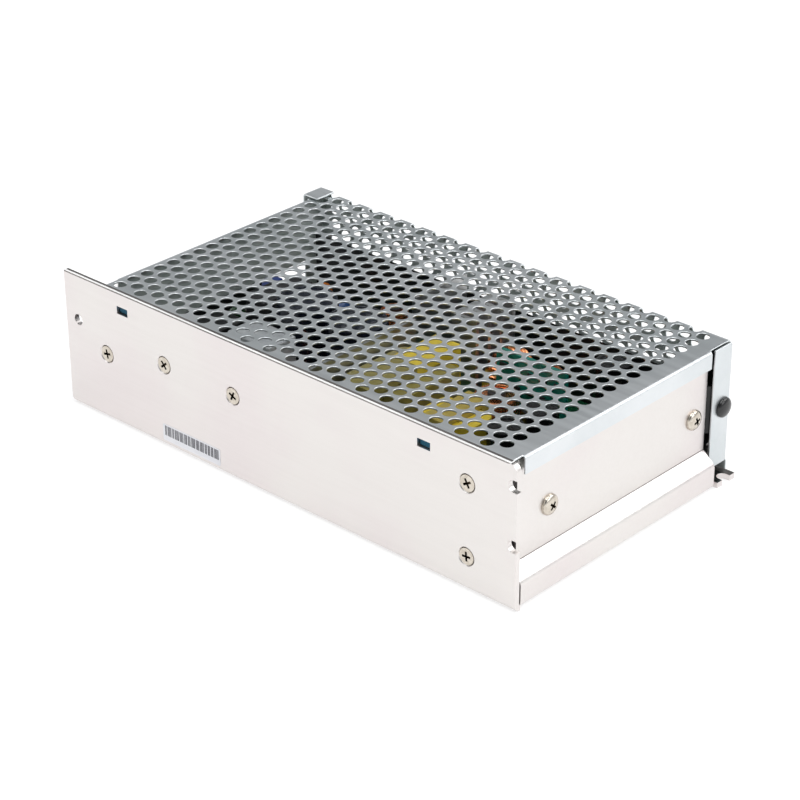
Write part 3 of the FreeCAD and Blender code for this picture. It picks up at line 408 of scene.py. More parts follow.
# %% [markdown]
# ## Flakes of a metal coat
#
# A zinc, tin or nickel coat grows in tiny crystals, each a shade lighter or darker than the
# next. Voronoi cells have that look: one texture gives each flake its tone, and a second
# one, measured to the edge of a cell, gives the thin line between two flakes.
# %% Group: zinc flakes
flaked, given, out = new_group("zinc_flakes", {"Flake Scale": 260.0}, ["Flakes", "Edges"])
place = add(flaked, "ShaderNodeTexCoord")
cells = add(flaked, "ShaderNodeTexVoronoi", feature="F1")
tone = add(flaked, "ShaderNodeSeparateColor")
borders = add(flaked, "ShaderNodeTexVoronoi", feature="DISTANCE_TO_EDGE")
for pattern in (cells, borders):
    flaked.links.new(place.outputs["Object"], pattern.inputs["Vector"])
    flaked.links.new(given.outputs["Flake Scale"], pattern.inputs["Scale"])
flaked.links.new(cells.outputs["Color"], tone.inputs["Color"])
flaked.links.new(tone.outputs["Red"], out.inputs["Flakes"])
flaked.links.new(contrast(flaked, borders.outputs["Distance"], 0.0, 0.2), out.inputs["Edges"])

# %% [markdown]
# ## Moulded skin
#
# Plastic, lacquer and shrunk sleeves have a dull skin with very fine pores and broad, weak
# patches. Two noises of different size are enough: the small one is a height for the
# relief, the large one a mask for the tone.
# %% Group: moulded skin
skin, given, out = new_group(
    "moulded_skin", {"Stretch": (1.0, 1.0, 1.0), "Skin Scale": 1500.0}, ["Height", "Patches"])
pores = stretched_noise(skin, given, "Stretch", "Skin Scale", 2.0)
skin.links.new(pores.outputs["Fac"], out.inputs["Height"])
place = add(skin, "ShaderNodeTexCoord")
patches = add(skin, "ShaderNodeTexNoise")
patches.inputs["Scale"].default_value = 120.0
patches.inputs["Detail"].default_value = 3.0
skin.links.new(place.outputs["Object"], patches.inputs["Vector"])
skin.links.new(contrast(skin, patches.outputs["Fac"], 0.35, 0.65), out.inputs["Patches"])

# %% [markdown]
# ## Wound tape
#
# The transformers are wrapped in thin tape, and each turn ends in a low step. A wave in
# bands with a saw profile rises slowly and drops at once, as such laps do, and a noise adds
# the small creases. Modelling the laps would cost many faces that the holes mostly hide.
# %% Group: wound tape
taped, given, out = new_group("wound_tape", {"Lap Width": 250.0}, ["Laps", "Creases"])
place = add(taped, "ShaderNodeTexCoord")
laps = add(taped, "ShaderNodeTexWave", wave_type="BANDS", bands_direction="Z",
           wave_profile="SAW")
laps.inputs["Distortion"].default_value = 0.6
laps.inputs["Detail"].default_value = 1.0
taped.links.new(place.outputs["Object"], laps.inputs["Vector"])
taped.links.new(given.outputs["Lap Width"], laps.inputs["Scale"])
taped.links.new(laps.outputs["Fac"], out.inputs["Laps"])
creases = add(taped, "ShaderNodeTexNoise")
creases.inputs["Scale"].default_value = 350.0
creases.inputs["Detail"].default_value = 4.0
taped.links.new(place.outputs["Object"], creases.inputs["Vector"])
taped.links.new(creases.outputs["Fac"], out.inputs["Creases"])
print("node groups:", sorted(g.name for g in bpy.data.node_groups))

# %% [markdown]
# ## From groups to materials
#
# A finish is two close tones mixed by one mask, a roughness that another mask moves a
# little, and a height for the finest relief. The same small function wires all three, so
# each material below only says which group it uses and how strong each effect is.
# %% Wire a finish from one group
# A Mix node keeps a set of sockets for each kind of value. These are the colour ones.
mix_first, mix_second, mix_result = 6, 7, 2


def finish_from(name, group, values, light, dark, tone_mask, rough, relief,
                metallic=0.0, coat=0.0):
    """A material whose tone, roughness and relief come from one node group.

    light and dark are linear colours, rough is (mask, low, high) and relief is
    (height, strength, distance in mm)."""
    material = bpy.data.materials.new(name)
    material.use_nodes = True
    tree = material.node_tree
    shader = tree.nodes["Principled BSDF"]
    shader.inputs["Metallic"].default_value = metallic
    shader.inputs["Coat Weight"].default_value = coat
    effect = add(tree, "ShaderNodeGroup", node_tree=group)
    for label, value in values.items():
        effect.inputs[label].default_value = value
    tones = add(tree, "ShaderNodeMix", data_type="RGBA")
    tones.inputs[mix_first].default_value = (*dark, 1)
    tones.inputs[mix_second].default_value = (*light, 1)
    tree.links.new(effect.outputs[tone_mask], tones.inputs["Factor"])
    tree.links.new(tones.outputs[mix_result], shader.inputs["Base Color"])
    spread = add(tree, "ShaderNodeMapRange")
    spread.inputs["To Min"].default_value = rough[1]
    spread.inputs["To Max"].default_value = rough[2]
    tree.links.new(effect.outputs[rough[0]], spread.inputs["Value"])
    tree.links.new(spread.outputs["Result"], shader.inputs["Roughness"])
    bump = add(tree, "ShaderNodeBump")
    bump.inputs["Strength"].default_value = relief[1]
    bump.inputs["Distance"].default_value = relief[2] * MM
    tree.links.new(effect.outputs[relief[0]], bump.inputs["Height"])
    tree.links.new(bump.outputs["Normal"], shader.inputs["Normal"])
    return material


def sheet_metal(name, light, dark, rough, stretch=(0.03, 1.0, 1.0), lines=900.0):
    """Bare or plated sheet, with the fine lines of rolling along the case."""
    return finish_from(name, rolled, {"Stretch": stretch, "Line Scale": lines}, light, dark,
                       "Clouds", ("Lines", *rough), ("Lines", 0.04, 0.01), metallic=1.0)


def moulded(name, light, dark, rough=(0.35, 0.45), coat=0.0, scale=1500.0, relief=0.12):
    """Moulded, dipped or sleeved plastic."""
    return finish_from(name, skin, {"Skin Scale": scale}, light, dark, "Patches",
                       ("Patches", *rough), ("Height", relief, 0.03), coat=coat)


def plated(name, light, dark, rough=(0.18, 0.30)):
    """A small plated or tinned part."""
    return finish_from(name, flaked, {"Flake Scale": 900.0}, light, dark, "Flakes",
                       ("Edges", *rough), ("Edges", 0.04, 0.01), metallic=1.0)


def tape(name, light, dark, rough=(0.25, 0.40)):
    """Thin tape wound round a coil, a little proud at each lap."""
    return finish_from(name, taped, {}, light, dark, "Creases", ("Creases", *rough),
                       ("Laps", 0.25, 0.08), coat=0.2)


# %% [markdown]
# ## The palette
#
# Each finish below is one surface of the supply, from the bare aluminium tray to the
# sleeves of the capacitors, and a few are brighter or darker copies that paint light and
# shade. The colours are given as they are seen, from 0 to 255, and are turned into linear
# values. One dictionary holds them all, so a piece asks for its finish by a plain name.
# %% Every finish of the power supply
finishes = {
    "aluminium": sheet_metal("rolled_aluminium", colour(227, 223, 220), colour(225, 218, 217),
                             (0.30, 0.42)),
    "inner_aluminium": sheet_metal("plain_aluminium", colour(222, 222, 222),
                                   colour(200, 202, 205), (0.30, 0.45), (1.0, 1.0, 0.04)),
    # Painted highlight: a bright matte finish for the front half of the chassis's top face.
    "painted_highlight_top": moulded("painted_highlight_top", colour(236, 235, 234), colour(226, 225, 225),
                            (0.5, 0.6)),
    # Painted shade: a darker copy of the aluminium for the rear half of the top face, the top
    # corner, the lip's bend and the foot's prongs.
    "painted_shade_edge": sheet_metal("painted_shade_edge", colour(150, 145, 142), colour(126, 122, 120),
                             (0.35, 0.5)),
    # Painted shade on the rest of the foot's top.
    "shaded_foot": sheet_metal("shaded_foot", colour(120, 122, 122), colour(96, 99, 100),
                               (0.2, 0.3)),
    "zinc_sheet": sheet_metal("zinc_plated_sheet", colour(225, 228, 230),
                              colour(209, 214, 216), (0.38, 0.46), (0.06, 1.0, 1.0), 500.0),
    # Painted shade: a darker, duller copy of the zinc for the inner faces of the cover.
    "zinc_painted_shade": moulded("zinc_painted_shade", colour(176, 184, 182), colour(158, 166, 164),
                         (0.4, 0.55)),
    # Painted shade: the hook ends are the cover's zinc, coloured dark blue-teal where they sit in
    # the windows.
    "hook_painted_shade": sheet_metal("teal_hook_shade", colour(40, 84, 104), colour(26, 62, 80),
                             (0.25, 0.35)),
    "nickel_screw": plated("nickel_plate", colour(216, 208, 196), colour(198, 189, 176),
                           (0.10, 0.18)),
    # Painted shade: a dark brown for the walls of the screw recesses.
    "recess_painted_shade": plated("recess_painted_shade", colour(112, 98, 82), colour(84, 72, 60),
                           (0.25, 0.4)),
    "tinned_metal": plated("tin_plate", colour(214, 214, 210), colour(190, 191, 190)),
    "black_gloss": moulded("glossy_black", colour(20, 20, 22), colour(12, 12, 14),
                           (0.12, 0.20), coat=0.3),
    "black_matte": moulded("moulded_black", colour(26, 26, 28), colour(19, 19, 21)),
    "sticker_paper": moulded("sticker_paper", colour(229, 229, 233), colour(222, 222, 227),
                             (0.45, 0.55)),
    "sticker_ink": moulded("sticker_ink", colour(98, 98, 103), colour(84, 84, 90), (0.5, 0.6)),
    "insulation_film": moulded("pale_film", colour(214, 212, 200), colour(203, 201, 190),
                               (0.25, 0.35)),
    "board_laminate": moulded("green_board", colour(22, 92, 58), colour(16, 74, 46),
                              (0.22, 0.34), coat=0.3, scale=700.0),
    "board_teal": moulded("teal_board", colour(28, 140, 124), colour(20, 112, 100),
                          (0.22, 0.32), coat=0.3, scale=700.0),
    "adjuster_blue": moulded("moulded_blue", colour(26, 54, 118), colour(20, 44, 100)),
    "adjuster_white": moulded("moulded_white", colour(236, 234, 226), colour(226, 224, 214)),
    "lamp_green": moulded("lamp_green", colour(96, 200, 104), colour(80, 184, 92),
                          (0.08, 0.14), coat=0.4),
    "fuse_body": moulded("fuse_ceramic", colour(232, 228, 216), colour(222, 217, 204),
                         (0.2, 0.3)),
    "green_disc": moulded("dipped_green", colour(56, 92, 60), colour(44, 78, 50),
                          (0.15, 0.25), coat=0.3),
    "orange_disc": moulded("dipped_orange", colour(206, 122, 52), colour(188, 104, 42),
                           (0.15, 0.25), coat=0.3),
    "blue_disc": moulded("dipped_blue", colour(70, 104, 158), colour(56, 88, 140),
                         (0.15, 0.25), coat=0.3),
    "grey_film": moulded("moulded_grey", colour(198, 202, 204), colour(184, 188, 192)),
    "ferrite": moulded("ferrite", colour(58, 58, 60), colour(44, 44, 47), (0.5, 0.65),
                       scale=2200.0, relief=0.3),
    "black_tape": tape("black_tape", colour(34, 34, 38), colour(22, 22, 26)),
    "yellow_tape": tape("yellow_tape", colour(236, 212, 72), colour(220, 192, 52)),
    # Painted shade: darker copies of the yellow tape, the darkest for the large transformer's
    # front and coil, the other for the second core.
    "yellow_tape_painted_shade": tape("shaded_yellow_tape", colour(158, 148, 84), colour(136, 126, 66)),
    "yellow_tape_half_shade": tape("yellow_tape_half_shade", colour(200, 180, 92), colour(178, 156, 70)),
    "copper_wire": plated("enamelled_copper", colour(240, 164, 116), colour(222, 138, 92),
                          (0.2, 0.3)),
    "powder_core": moulded("coated_ring", colour(206, 186, 92), colour(190, 168, 76)),
    "capacitor_blue": moulded("dark_blue_sleeve", colour(26, 32, 48), colour(20, 24, 38),
                              (0.16, 0.26), coat=0.2),
    "capacitor_black": moulded("black_sleeve", colour(24, 24, 27), colour(18, 18, 21),
                               (0.16, 0.26), coat=0.2),
    "epoxy_black": moulded("black_epoxy", colour(40, 40, 42), colour(32, 32, 34),
                           (0.4, 0.55), scale=2600.0, relief=0.25),
    "grey_pad": moulded("grey_pad", colour(150, 152, 156), colour(138, 140, 146),
                        (0.6, 0.75)),
}
print(len(finishes), "finishes")

# %% [markdown]
# ## The perforated cover: one cell of the pattern
#
# The cover is punched with round holes of 4.45 mm in staggered columns, more than eight
# hundred of them, across the top and down the rear wall. Cutting them one by one with
# Boolean modifiers would be slow and leave ragged faces. The sheet is built instead from
# one small cell, a rectangle with a round hole, filled once and repeated with the Array
# modifier. Its sides have a vertex in the middle, because the next column is half a pitch
# higher, and so every cell shares its vertices with its neighbours.
# %% Sizes of the cover
sheet = 1.0
case_top = cad_high.z / MM
cover_low, cover_high = [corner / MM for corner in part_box("mesh_cover")]
cover_top = case_top - 1.3
middle_z = cover_top - sheet / 2
bend = sheet / 2 + 0.2
outer_bend = bend + sheet / 2
fold_z = middle_z - bend
fold_y = cover_high.y - outer_bend
left_flange_x = -83.6
left_fold_x = left_flange_x + outer_bend
left_x = cover_low.x + outer_bend
right_fold_x = cover_high.x - outer_bend
front_fold_y = -52.7 + outer_bend
wall_bottom = cover_low.z
left_flange_front, left_flange_bottom = -45.5, 25.4
right_flange_front, right_flange_rear, right_flange_bottom = -47.2, 43.7, 42.6
front_flange_end, front_flange_bottom = 92.0, 41.0
strip_bottom, strip_front, strip_top = 5.7, 45.3, 48.4
left_flange_rear = strip_front - 0.3
tab_fold_z, tab_length = case_top - outer_bend, 6.2
hole_radius = 2.225
pitch = 5.98
hole_rows = 24
hole_columns = 34
first_column, last_column = -79.0, 87.0
column_pitch = (last_column - first_column) / (hole_columns - 1)
first_row = -48.0
fold_steps = 4
chord = 2 * bend * math.sin(math.radians(90) / fold_steps / 2)
fold_end = fold_y + fold_steps * chord
sheet_end = fold_end + fold_z - wall_bottom


# %% [markdown]
# ## From one cell to the whole field
#
# A press punches such a field row by row. Here one column of cells is an Array along Y, and
# a second Array repeats every other column along X. The columns between them start half a
# pitch later. Both sets are then joined and their shared vertices merged.
# %% One column of cells
def column_of_cells(x, y):
    """A strip of cells with their holes, from the first cell's middle."""
    start()
    bpy.ops.mesh.primitive_plane_add(size=MM, location=(0, 0, 0))
    strip = bpy.context.object
    edit(strip)
    bpy.ops.mesh.select_all(action="SELECT")
    bpy.ops.transform.resize(value=(column_pitch, pitch, 1))
    bpy.ops.mesh.delete(type="ONLY_FACE")
    bpy.ops.mesh.select_all(action="SELECT")
    bpy.ops.mesh.subdivide(number_cuts=1)
    bpy.ops.mesh.primitive_circle_add(vertices=20, radius=hole_radius * MM)
    bpy.ops.mesh.select_all(action="SELECT")
    bpy.ops.mesh.fill(use_beauty=True)
    bpy.ops.mesh.select_all(action="SELECT")
    bpy.ops.transform.translate(value=(x * MM, y * MM, middle_z * MM))
    start()
    modify(strip, "ARRAY", count=hole_rows, use_relative_offset=False,
           use_constant_offset=True, constant_offset_displace=(0, pitch * MM, 0),
           use_merge_vertices=True, merge_threshold=0.01 * MM)
    return strip


def spread_columns(strip):
    """Repeats a strip at every second column."""
    modify(strip, "ARRAY", count=hole_columns // 2, use_relative_offset=False,
           use_constant_offset=True, constant_offset_displace=(2 * column_pitch * MM, 0, 0))


field_front = first_row - pitch / 2
field_rear = field_front + (hole_rows + 0.5) * pitch
even = column_of_cells(first_column, first_row)
edit(even)
pick("EDGE", lambda m, e: near(m.y, field_rear - pitch / 2))
extrude(y=pitch / 2)
spread_columns(even)
odd = column_of_cells(first_column + column_pitch, first_row + pitch / 2)
edit(odd)
pick("EDGE", lambda m, e: near(m.y, field_front + pitch / 2))
extrude(y=-pitch / 2)
spread_columns(odd)
cover = joined([even, odd])
face_outwards(cover)
print(hole_columns * hole_rows, "holes,", len(cover.data.polygons), "faces, still flat")

# %% [markdown]
# ## Borders and folds
#
# While the sheet is flat, its plain borders are extruded from its edges and cut to length
# with Bisect where a flange begins or ends. The rear wall is then folded down as on a press
# brake: the part beyond each crease is turned about that crease, from the last to the
# first. The narrow flanges have no holes, so Spin makes their bends and Extrude their legs.
# %% Plain borders of the flat sheet
field_left = first_column - column_pitch / 2
field_right = last_column + column_pitch / 2
edit(cover)
pick("EDGE", lambda m, e: near(m.x, field_left))
extrude(x=left_fold_x - field_left)
pick("EDGE", lambda m, e: near(m.x, field_right))
extrude(x=right_fold_x - field_right)
pick("EDGE", lambda m, e: near(m.y, field_front))
extrude(y=front_fold_y - field_front)
pick("EDGE", lambda m, e: near(m.y, field_rear))
extrude(y=sheet_end - field_rear)


def bisect(test, x=None, y=None, z=None):
    """Cuts the picked faces along a plane across X, Y or Z."""
    pick("FACE", test)
    bpy.ops.mesh.bisect(plane_co=[(level or 0) * MM for level in (x, y, z)],
                        plane_no=[0 if level is None else 1 for level in (x, y, z)])


strip_end = fold_end + fold_z - strip_bottom
for level in (left_flange_front, left_flange_rear, strip_end):
    bisect(lambda m, f: m.x < field_left, y=level)
for level in (right_flange_front, right_flange_rear, strip_end):
    bisect(lambda m, f: m.x > field_right, y=level)
bisect(lambda m, f: m.y < field_front, x=front_flange_end)
for step in range(fold_steps + 1):
    bisect(lambda m, f: True, y=fold_y + step * chord)
pick("EDGE", lambda m, e: near(m.x, left_fold_x) and m.y > left_flange_rear)
extrude(x=-outer_bend)
pick("EDGE", lambda m, e: near(m.x, left_flange_x) and m.y > fold_end)
extrude(x=left_x - left_flange_x)
print("flat sheet is", round(sheet_end - front_fold_y, 1), "mm from front to bottom")

# %% [markdown]
# ## Folding the rear wall
#
# The rear wall is the same sheet, bent down through a quarter turn. A Simple Deform modifier
# could bend it, but would also stretch the holes beside the fold. Turning the part beyond
# each crease as one rigid piece leaves them round, and a few creases make the bend smooth.
# %% Fold the rear wall down, crease by crease
for step in range(fold_steps, -1, -1):
    crease = fold_y + step * chord
    turn = math.radians(90) / fold_steps
    if step in (0, fold_steps):
        turn /= 2
    pick("VERT", lambda m, v: m.y > crease + 0.005)
    bpy.ops.transform.rotate(value=turn, orient_axis="X",
                             center_override=(0, crease * MM, middle_z * MM))
start()
lowest = min(v.co.z for v in cover.data.vertices) / MM
print("rear wall reaches down to", round(lowest, 2), "mm")


# %% [markdown]
# ## Flanges, corner strips and the tab
#
# Narrow flanges grip the tray on three sides, a strip closes each rear corner, and a tab
# laps over the left one. They are plain metal, so the edges of the folded sheet are spun
# round each fold's centre and the leg is extruded from there, which gives even bends.
# %% Flanges, corner strips and the tab
def flange(test, centre, axis, angle, **leg):
    """Bends the picked edges round an axis with Spin, and extrudes the flange's leg."""
    pick("EDGE", test)
    bpy.ops.mesh.spin(steps=fold_steps, angle=math.radians(angle), axis=axis,
                      center=[c * MM for c in centre])
    extrude(**leg)


edit(cover)
pick("EDGE", lambda m, e: near(m.x, right_fold_x) and near(m.y, fold_y + bend)
     and m.z < strip_bottom)
extrude(x=outer_bend)
flange(lambda m, e: near(m.x, left_fold_x) and near(m.z, middle_z)
       and left_flange_front < m.y < left_flange_rear,
       (left_fold_x, 0, fold_z), (0, 1, 0), 90, z=left_flange_bottom - fold_z)
flange(lambda m, e: near(m.x, right_fold_x) and near(m.z, middle_z)
       and right_flange_front < m.y < right_flange_rear,
       (right_fold_x, 0, fold_z), (0, 1, 0), -90, z=right_flange_bottom - fold_z)
flange(lambda m, e: near(m.y, front_fold_y) and near(m.z, middle_z)
       and m.x < front_flange_end,
       (0, front_fold_y, fold_z), (1, 0, 0), -90, z=front_flange_bottom - fold_z)
flange(lambda m, e: near(m.x, right_fold_x) and near(m.y, fold_y + bend)
       and strip_bottom < m.z < fold_z, (right_fold_x, fold_y, 0), (0, 0, 1), 90,
       y=strip_front - fold_y)
flange(lambda m, e: near(m.x, left_x) and near(m.y, fold_y + bend)
       and strip_bottom < m.z < fold_z, (left_x, fold_y, 0), (0, 0, 1), -90,
       y=strip_front - fold_y)
pick("EDGE", lambda m, e: near(m.x, right_fold_x + bend) and near(m.z, fold_z)
     and strip_front < m.y < fold_y)
extrude(z=strip_top - fold_z)
pick("EDGE", lambda m, e: near(m.x, left_x - bend) and near(m.z, fold_z)
     and strip_front < m.y < fold_y)
extrude(z=tab_fold_z - fold_z)
flange(lambda m, e: near(m.x, left_x - bend) and near(m.z, tab_fold_z),
       (left_x, 0, tab_fold_z), (0, 1, 0), -90, x=tab_length)
start()
span = [v.co / MM for v in cover.data.vertices]
for axis in range(3):
    print("middle of the sheet:", round(min(s[axis] for s in span), 2),
          round(max(s[axis] for s in span), 2))

# %% [markdown]
# ## Thickness and the painted shade inside
#
# Until now the sheet is a surface in the middle of the metal. Solidify gives it thickness
# while its outer faces stay where the solid has them. It is drawn thinner than the metal,
# because the walls of the holes then hide less of the board. The inside of the sheet is the
# same zinc, but its faces get a darker, duller copy of it as painted shade, because the inside
# never mirrors the bright room.
# %% Give the sheet its thickness
face_outwards(cover)
cover.data.materials.append(finishes["zinc_sheet"])
drawn_sheet = 0.6
modify(cover, "SOLIDIFY", thickness=drawn_sheet * MM, offset=sheet / drawn_sheet - 1,
       use_even_offset=True)
# The inner faces take the darker copy of the zinc, as painted shade.
cover.data.materials.append(finishes["zinc_painted_shade"])
# The axis that an inner side faces along, which way it faces, and where it starts.
inner_sides = ((2, -1, 47.0), (1, -1, 53.0), (1, 1, -51.5), (0, 1, -82.5), (0, -1, 94.7))
for face in cover.data.polygons:
    for axis, way, level in inner_sides:
        beyond = (face.center[axis] / MM - level) * way < 0
        if beyond and face.normal[axis] * way > 0.7:
            face.material_index = 1
outside = [v.co / MM for v in cover.data.vertices]
for axis in range(3):
    print("sheet with its thickness:", round(min(v[axis] for v in outside), 2),
          round(max(v[axis] for v in outside), 2))

# %% [markdown]
# ## Window hooks
#
# Two tongues pressed out of the front flange reach through windows in the long wall and hold
# the cover there. Only their ends show, as small dark blue-teal rectangles. They are the
# cover's own zinc, and their dark blue-teal colour is painted shade, so a plain block in each
# window is enough.
# %% Two hooks, joined to the cover
hook_size = (4.6, 1.8, 2.2)
hooks = joined([block(hook_size, (x, -53.1, 43.7)) for x in (-70.7, 63.2)])
# The hooks' dark blue-teal colour is painted shade.
hooks.data.materials.append(finishes["hook_painted_shade"])
round_edges(cover, 0.12, 1)
cover = joined([cover, hooks])
finish_piece(cover, "perforated_cover", None, ["mesh_cover"])

# %% [markdown]
# ## A softened copy of a solid
#
# The solids already have the right folds, slots and holes, but their edges are razor sharp,
# and a real sheared edge always catches a thin line of light. A copy of each solid is
# merged and cleaned of flat edges, and a Bevel modifier rounds it by a fraction of a
# millimetre. Modelling these shapes again would only repeat the solids.
# %% A softened copy of a solid
def softened(node, finish, width, segments=2, name=None, body="housing", shape=None):
    """A copy of a solid with rounded edges, which stands for it. A shaping step may come
    before the rounding."""
    source = frame["nodes"][node]
    copy = bpy.data.objects.new(node + "_copy", source.data.copy())
    bpy.context.scene.collection.objects.link(copy)
    start(copy)
    if copy.data.has_custom_normals:
        bpy.ops.mesh.customdata_custom_splitnormals_clear()
    edit(copy)
    bpy.ops.mesh.select_all(action="SELECT")
    bpy.ops.mesh.remove_doubles(threshold=merge_distance * MM)
    bpy.ops.mesh.dissolve_limited(angle_limit=math.radians(0.5))
    if shape is not None:
        shape()
    start()
    round_edges(copy, width, segments)
    return finish_piece(copy, name or node + "_finished", finishes[finish], [node], body)


# %% [markdown]
# ## The chassis
#
# The tray is one sheet of aluminium with a long front wall, and an end wall that stands
# free of it. A narrow gap parts the two above the end wall's slope, so the end wall's front
# edge is moved back there. The wall's top face is split in two: its front half gets a bright
# matte finish as a painted highlight, and its rear half a darker copy of the aluminium as
# painted shade. The same painted shade goes on the bevelled top corner, the bend above the lip
# and the foot's prongs, and the rest of the foot, where it lies in the case's shade, gets a
# darker painted shade.
# %% The chassis: a gap beside the end wall, a broken top edge, and painted light and shade
end_wall_x, end_wall_front, gap_bottom, set_back = 92.0, -52.0, 14.0, 3.3
wall_front, broken_edge, highlight_edge_y = -55.0, 0.4, -54.0
floor_top, foot_x, foot_front, prong_y = 2.0, 91.0, 45.0, 52.3
lip_x, lip_bottom, lip_top = 94.2, 12.4, 13.8


def at_gap(m, face):
    """True for the end wall's faces that reach the gap above the slope."""
    behind_wall = m.y > end_wall_front - 0.9
    corners = [v.co / MM for v in face.verts]
    return behind_wall and any(c.x > end_wall_x and c.y < end_wall_front + 0.1
                               and c.z > gap_bottom - 0.8 for c in corners)


def level_face(m, face, level):
    """True for a face that looks up at a level."""
    return face.normal.z > 0.9 and near(m.z, level)


def shape_chassis():
    """Sets the end wall's front edge back above the slope, breaks the front wall's top
    edge, splits its top face where the painted highlight ends, and parts the foot from the
    floor for its painted shade."""
    bisect(at_gap, z=gap_bottom)
    moved = pick("VERT", lambda m, v: m.x > end_wall_x and m.z > gap_bottom - 0.1
                 and abs(m.y - end_wall_front) < 0.1)
    bpy.ops.transform.translate(value=(0, set_back * MM, 0))
    print("front edge of the end wall set back at", moved, "vertices")
    pick("EDGE", lambda m, e: near(m.y, wall_front) and near(m.z, case_top))
    bpy.ops.mesh.bevel(offset=broken_edge * MM, segments=3)
    # Splits the top face where the painted highlight gives way to painted shade.
    bisect(lambda m, f: level_face(m, f, case_top), y=highlight_edge_y)
    bisect(lambda m, f: level_face(m, f, floor_top), x=foot_x)
    bisect(lambda m, f: level_face(m, f, floor_top) and m.x > foot_x, y=prong_y)


chassis = softened("chassis", "aluminium", 0.12, name="folded_chassis",
                   shape=shape_chassis)
# Painted light and shade: the top face, the top corner, the lip's bend and the foot get brighter
# and darker finishes.
for finish in ("painted_highlight_top", "painted_shade_edge", "shaded_foot"):
    chassis.data.materials.append(finishes[finish])
painted_light, painted_shade, shaded = 1, 2, 3
for face in chassis.data.polygons:
    m, n = face.center / MM, face.normal
    top_corner = m.z > case_top - 0.5 and -0.98 < n.y < -0.15
    lip_bend = lip_bottom < m.z < lip_top and m.x > lip_x and 0.1 < n.z < 0.7
    foot_face = level_face(m, face, floor_top) and m.x > foot_x and m.y > foot_front
    if n.z > 0.95 and m.z > case_top - 0.2:
        face.material_index = painted_light if m.y < highlight_edge_y else painted_shade
    elif top_corner or lip_bend or (foot_face and m.y > prong_y):
        face.material_index = painted_shade
    elif foot_face:
        face.material_index = shaded

# %% [markdown]
# ## Brackets, board, heat sinks and boxed parts
#
# These are pressed, sawn or moulded parts whose solids already have the right form. They
# only need the small radius of their trade: sheet parts a tenth of a millimetre, moulded
# bodies more, and film capacitors with rounded cases the most.
# %% Brackets, terminal parts and other cut parts
# The two corner brackets are black as painted shade, for the dark slits where they show beside
# the end wall.
for node, finish, slot, width in (
        ("front_corner_bracket", "black_matte", "black_matte", 0.12),
        ("rear_corner_bracket", "black_matte", "black_matte", 0.12),
        ("terminal_block", "black_matte", "black_matte", 0.25),
        ("terminal_clamps", "tinned_metal", "tinned_metal", 0.15),
        ("adjuster_body", "adjuster_blue", "adjuster_blue", 0.3)):
    softened(node, finish, width)
softened("adjuster_rotor", "adjuster_white", 0.15, body="adjuster")
softened("circuit_board", "board_laminate", 0.1, 1)
for node, width in (("heat_plate_1", 0.15), ("heat_plate_2", 0.15), ("output_heat_sink", 0.2)):
    softened(node, "inner_aluminium", width)
for node in ("bridge_rectifier", "power_transistor_1", "power_transistor_2",
             "output_rectifier"):
    softened(node, "epoxy_black", 0.25)
for node, finish in (("film_capacitor", "black_matte"), ("grey_film_capacitor", "grey_film")):
    softened(node, finish, 0.8, 3)

# %% [markdown]
# ## Transformers and the line choke
#
# Each of these is a block of ferrite with a taped coil in its middle, and tape holds the
# ferrite together too. On the two transformers the tape is one yellow. On the large one the
# rear part shows it plainly, while its front part and its coil get a darker copy as painted
# shade, so its copy is cut at that line and gets two finishes. The second core gets a less
# dark copy, also painted shade.
# %% Cores and taped windings
softened("line_choke_core", "ferrite", 0.35)
softened("second_core", "yellow_tape_half_shade", 0.35)
# Painted shade: the front of the large core, beyond this line, takes the darker copy of the
# yellow tape.
shade_line_y = -11.0
core = softened("main_core", "yellow_tape", 0.35,
                shape=lambda: bisect(lambda m, f: True, y=shade_line_y))
core.data.materials.append(finishes["yellow_tape_painted_shade"])
for face in core.data.polygons:
    face.material_index = 1 if face.center.y / MM < shade_line_y else 0
for node, finish, slot in (("line_choke_winding", "black_tape", "black_tape"),
                           ("main_winding", "yellow_tape_painted_shade", "yellow_tape"),
                           ("second_winding", "yellow_tape", "yellow_tape")):
    softened(node, finish, 0.5)

# %% [markdown]
# ## Turned parts: screws, capacitors, discs and the lamp
#
# Each round part starts as a filled circle. Its end face is extruded level by level and
# scaled to the next radius, which follows the profile as a lathe tool would. The screw
# recesses are then cut with a cross. The solids have screws with coarse heads, so these
# pieces stand for them.
# %% A turned part from its profile
def turned(levels, vertices=40):
    """A round part along Z from (height, radius) levels in mm, closed at both ends."""
    start()
    height, radius = levels[0]
    bpy.ops.mesh.primitive_circle_add(vertices=vertices, radius=radius * MM,
                                      fill_type="NGON", location=(0, 0, height * MM))
    part = bpy.context.object
    bpy.ops.object.transform_apply(location=True)
    edit(part)
    bpy.ops.mesh.select_mode(type="FACE")
    bpy.ops.mesh.select_all(action="SELECT")
    for next_height, next_radius in levels[1:]:
        extrude(z=next_height - height)
        grow = next_radius / radius
        bpy.ops.transform.resize(value=(grow, grow, 1), center_override=(0, 0, 0))
        height, radius = next_height, next_radius
    face_outwards(part)
    return part


def dome(radius, base, rise, steps=6):
    """The levels of a dome on a base height, from its rim to just beside its middle."""
    levels = []
    for step in range(steps + 1):
        angle = math.radians(84) * step / steps
        levels.append((base + rise * math.sin(angle), radius * math.cos(angle)))
    return levels


cutter_reach = 0.3


def cross_cutter(top, span, width, depth):
    """A cross that reaches down from a height, as a screwdriver's tip does. Both of its
    ends reach a little further."""
    height = depth + 2 * cutter_reach
    middle = (0, 0, top - depth / 2)
    along_x = block((span, width, height), middle)
    along_y = block((width, span, height), middle)
    modify(along_x, "BOOLEAN", object=along_y, operation="UNION", solver="EXACT")
    bpy.data.objects.remove(along_y)
    return along_x


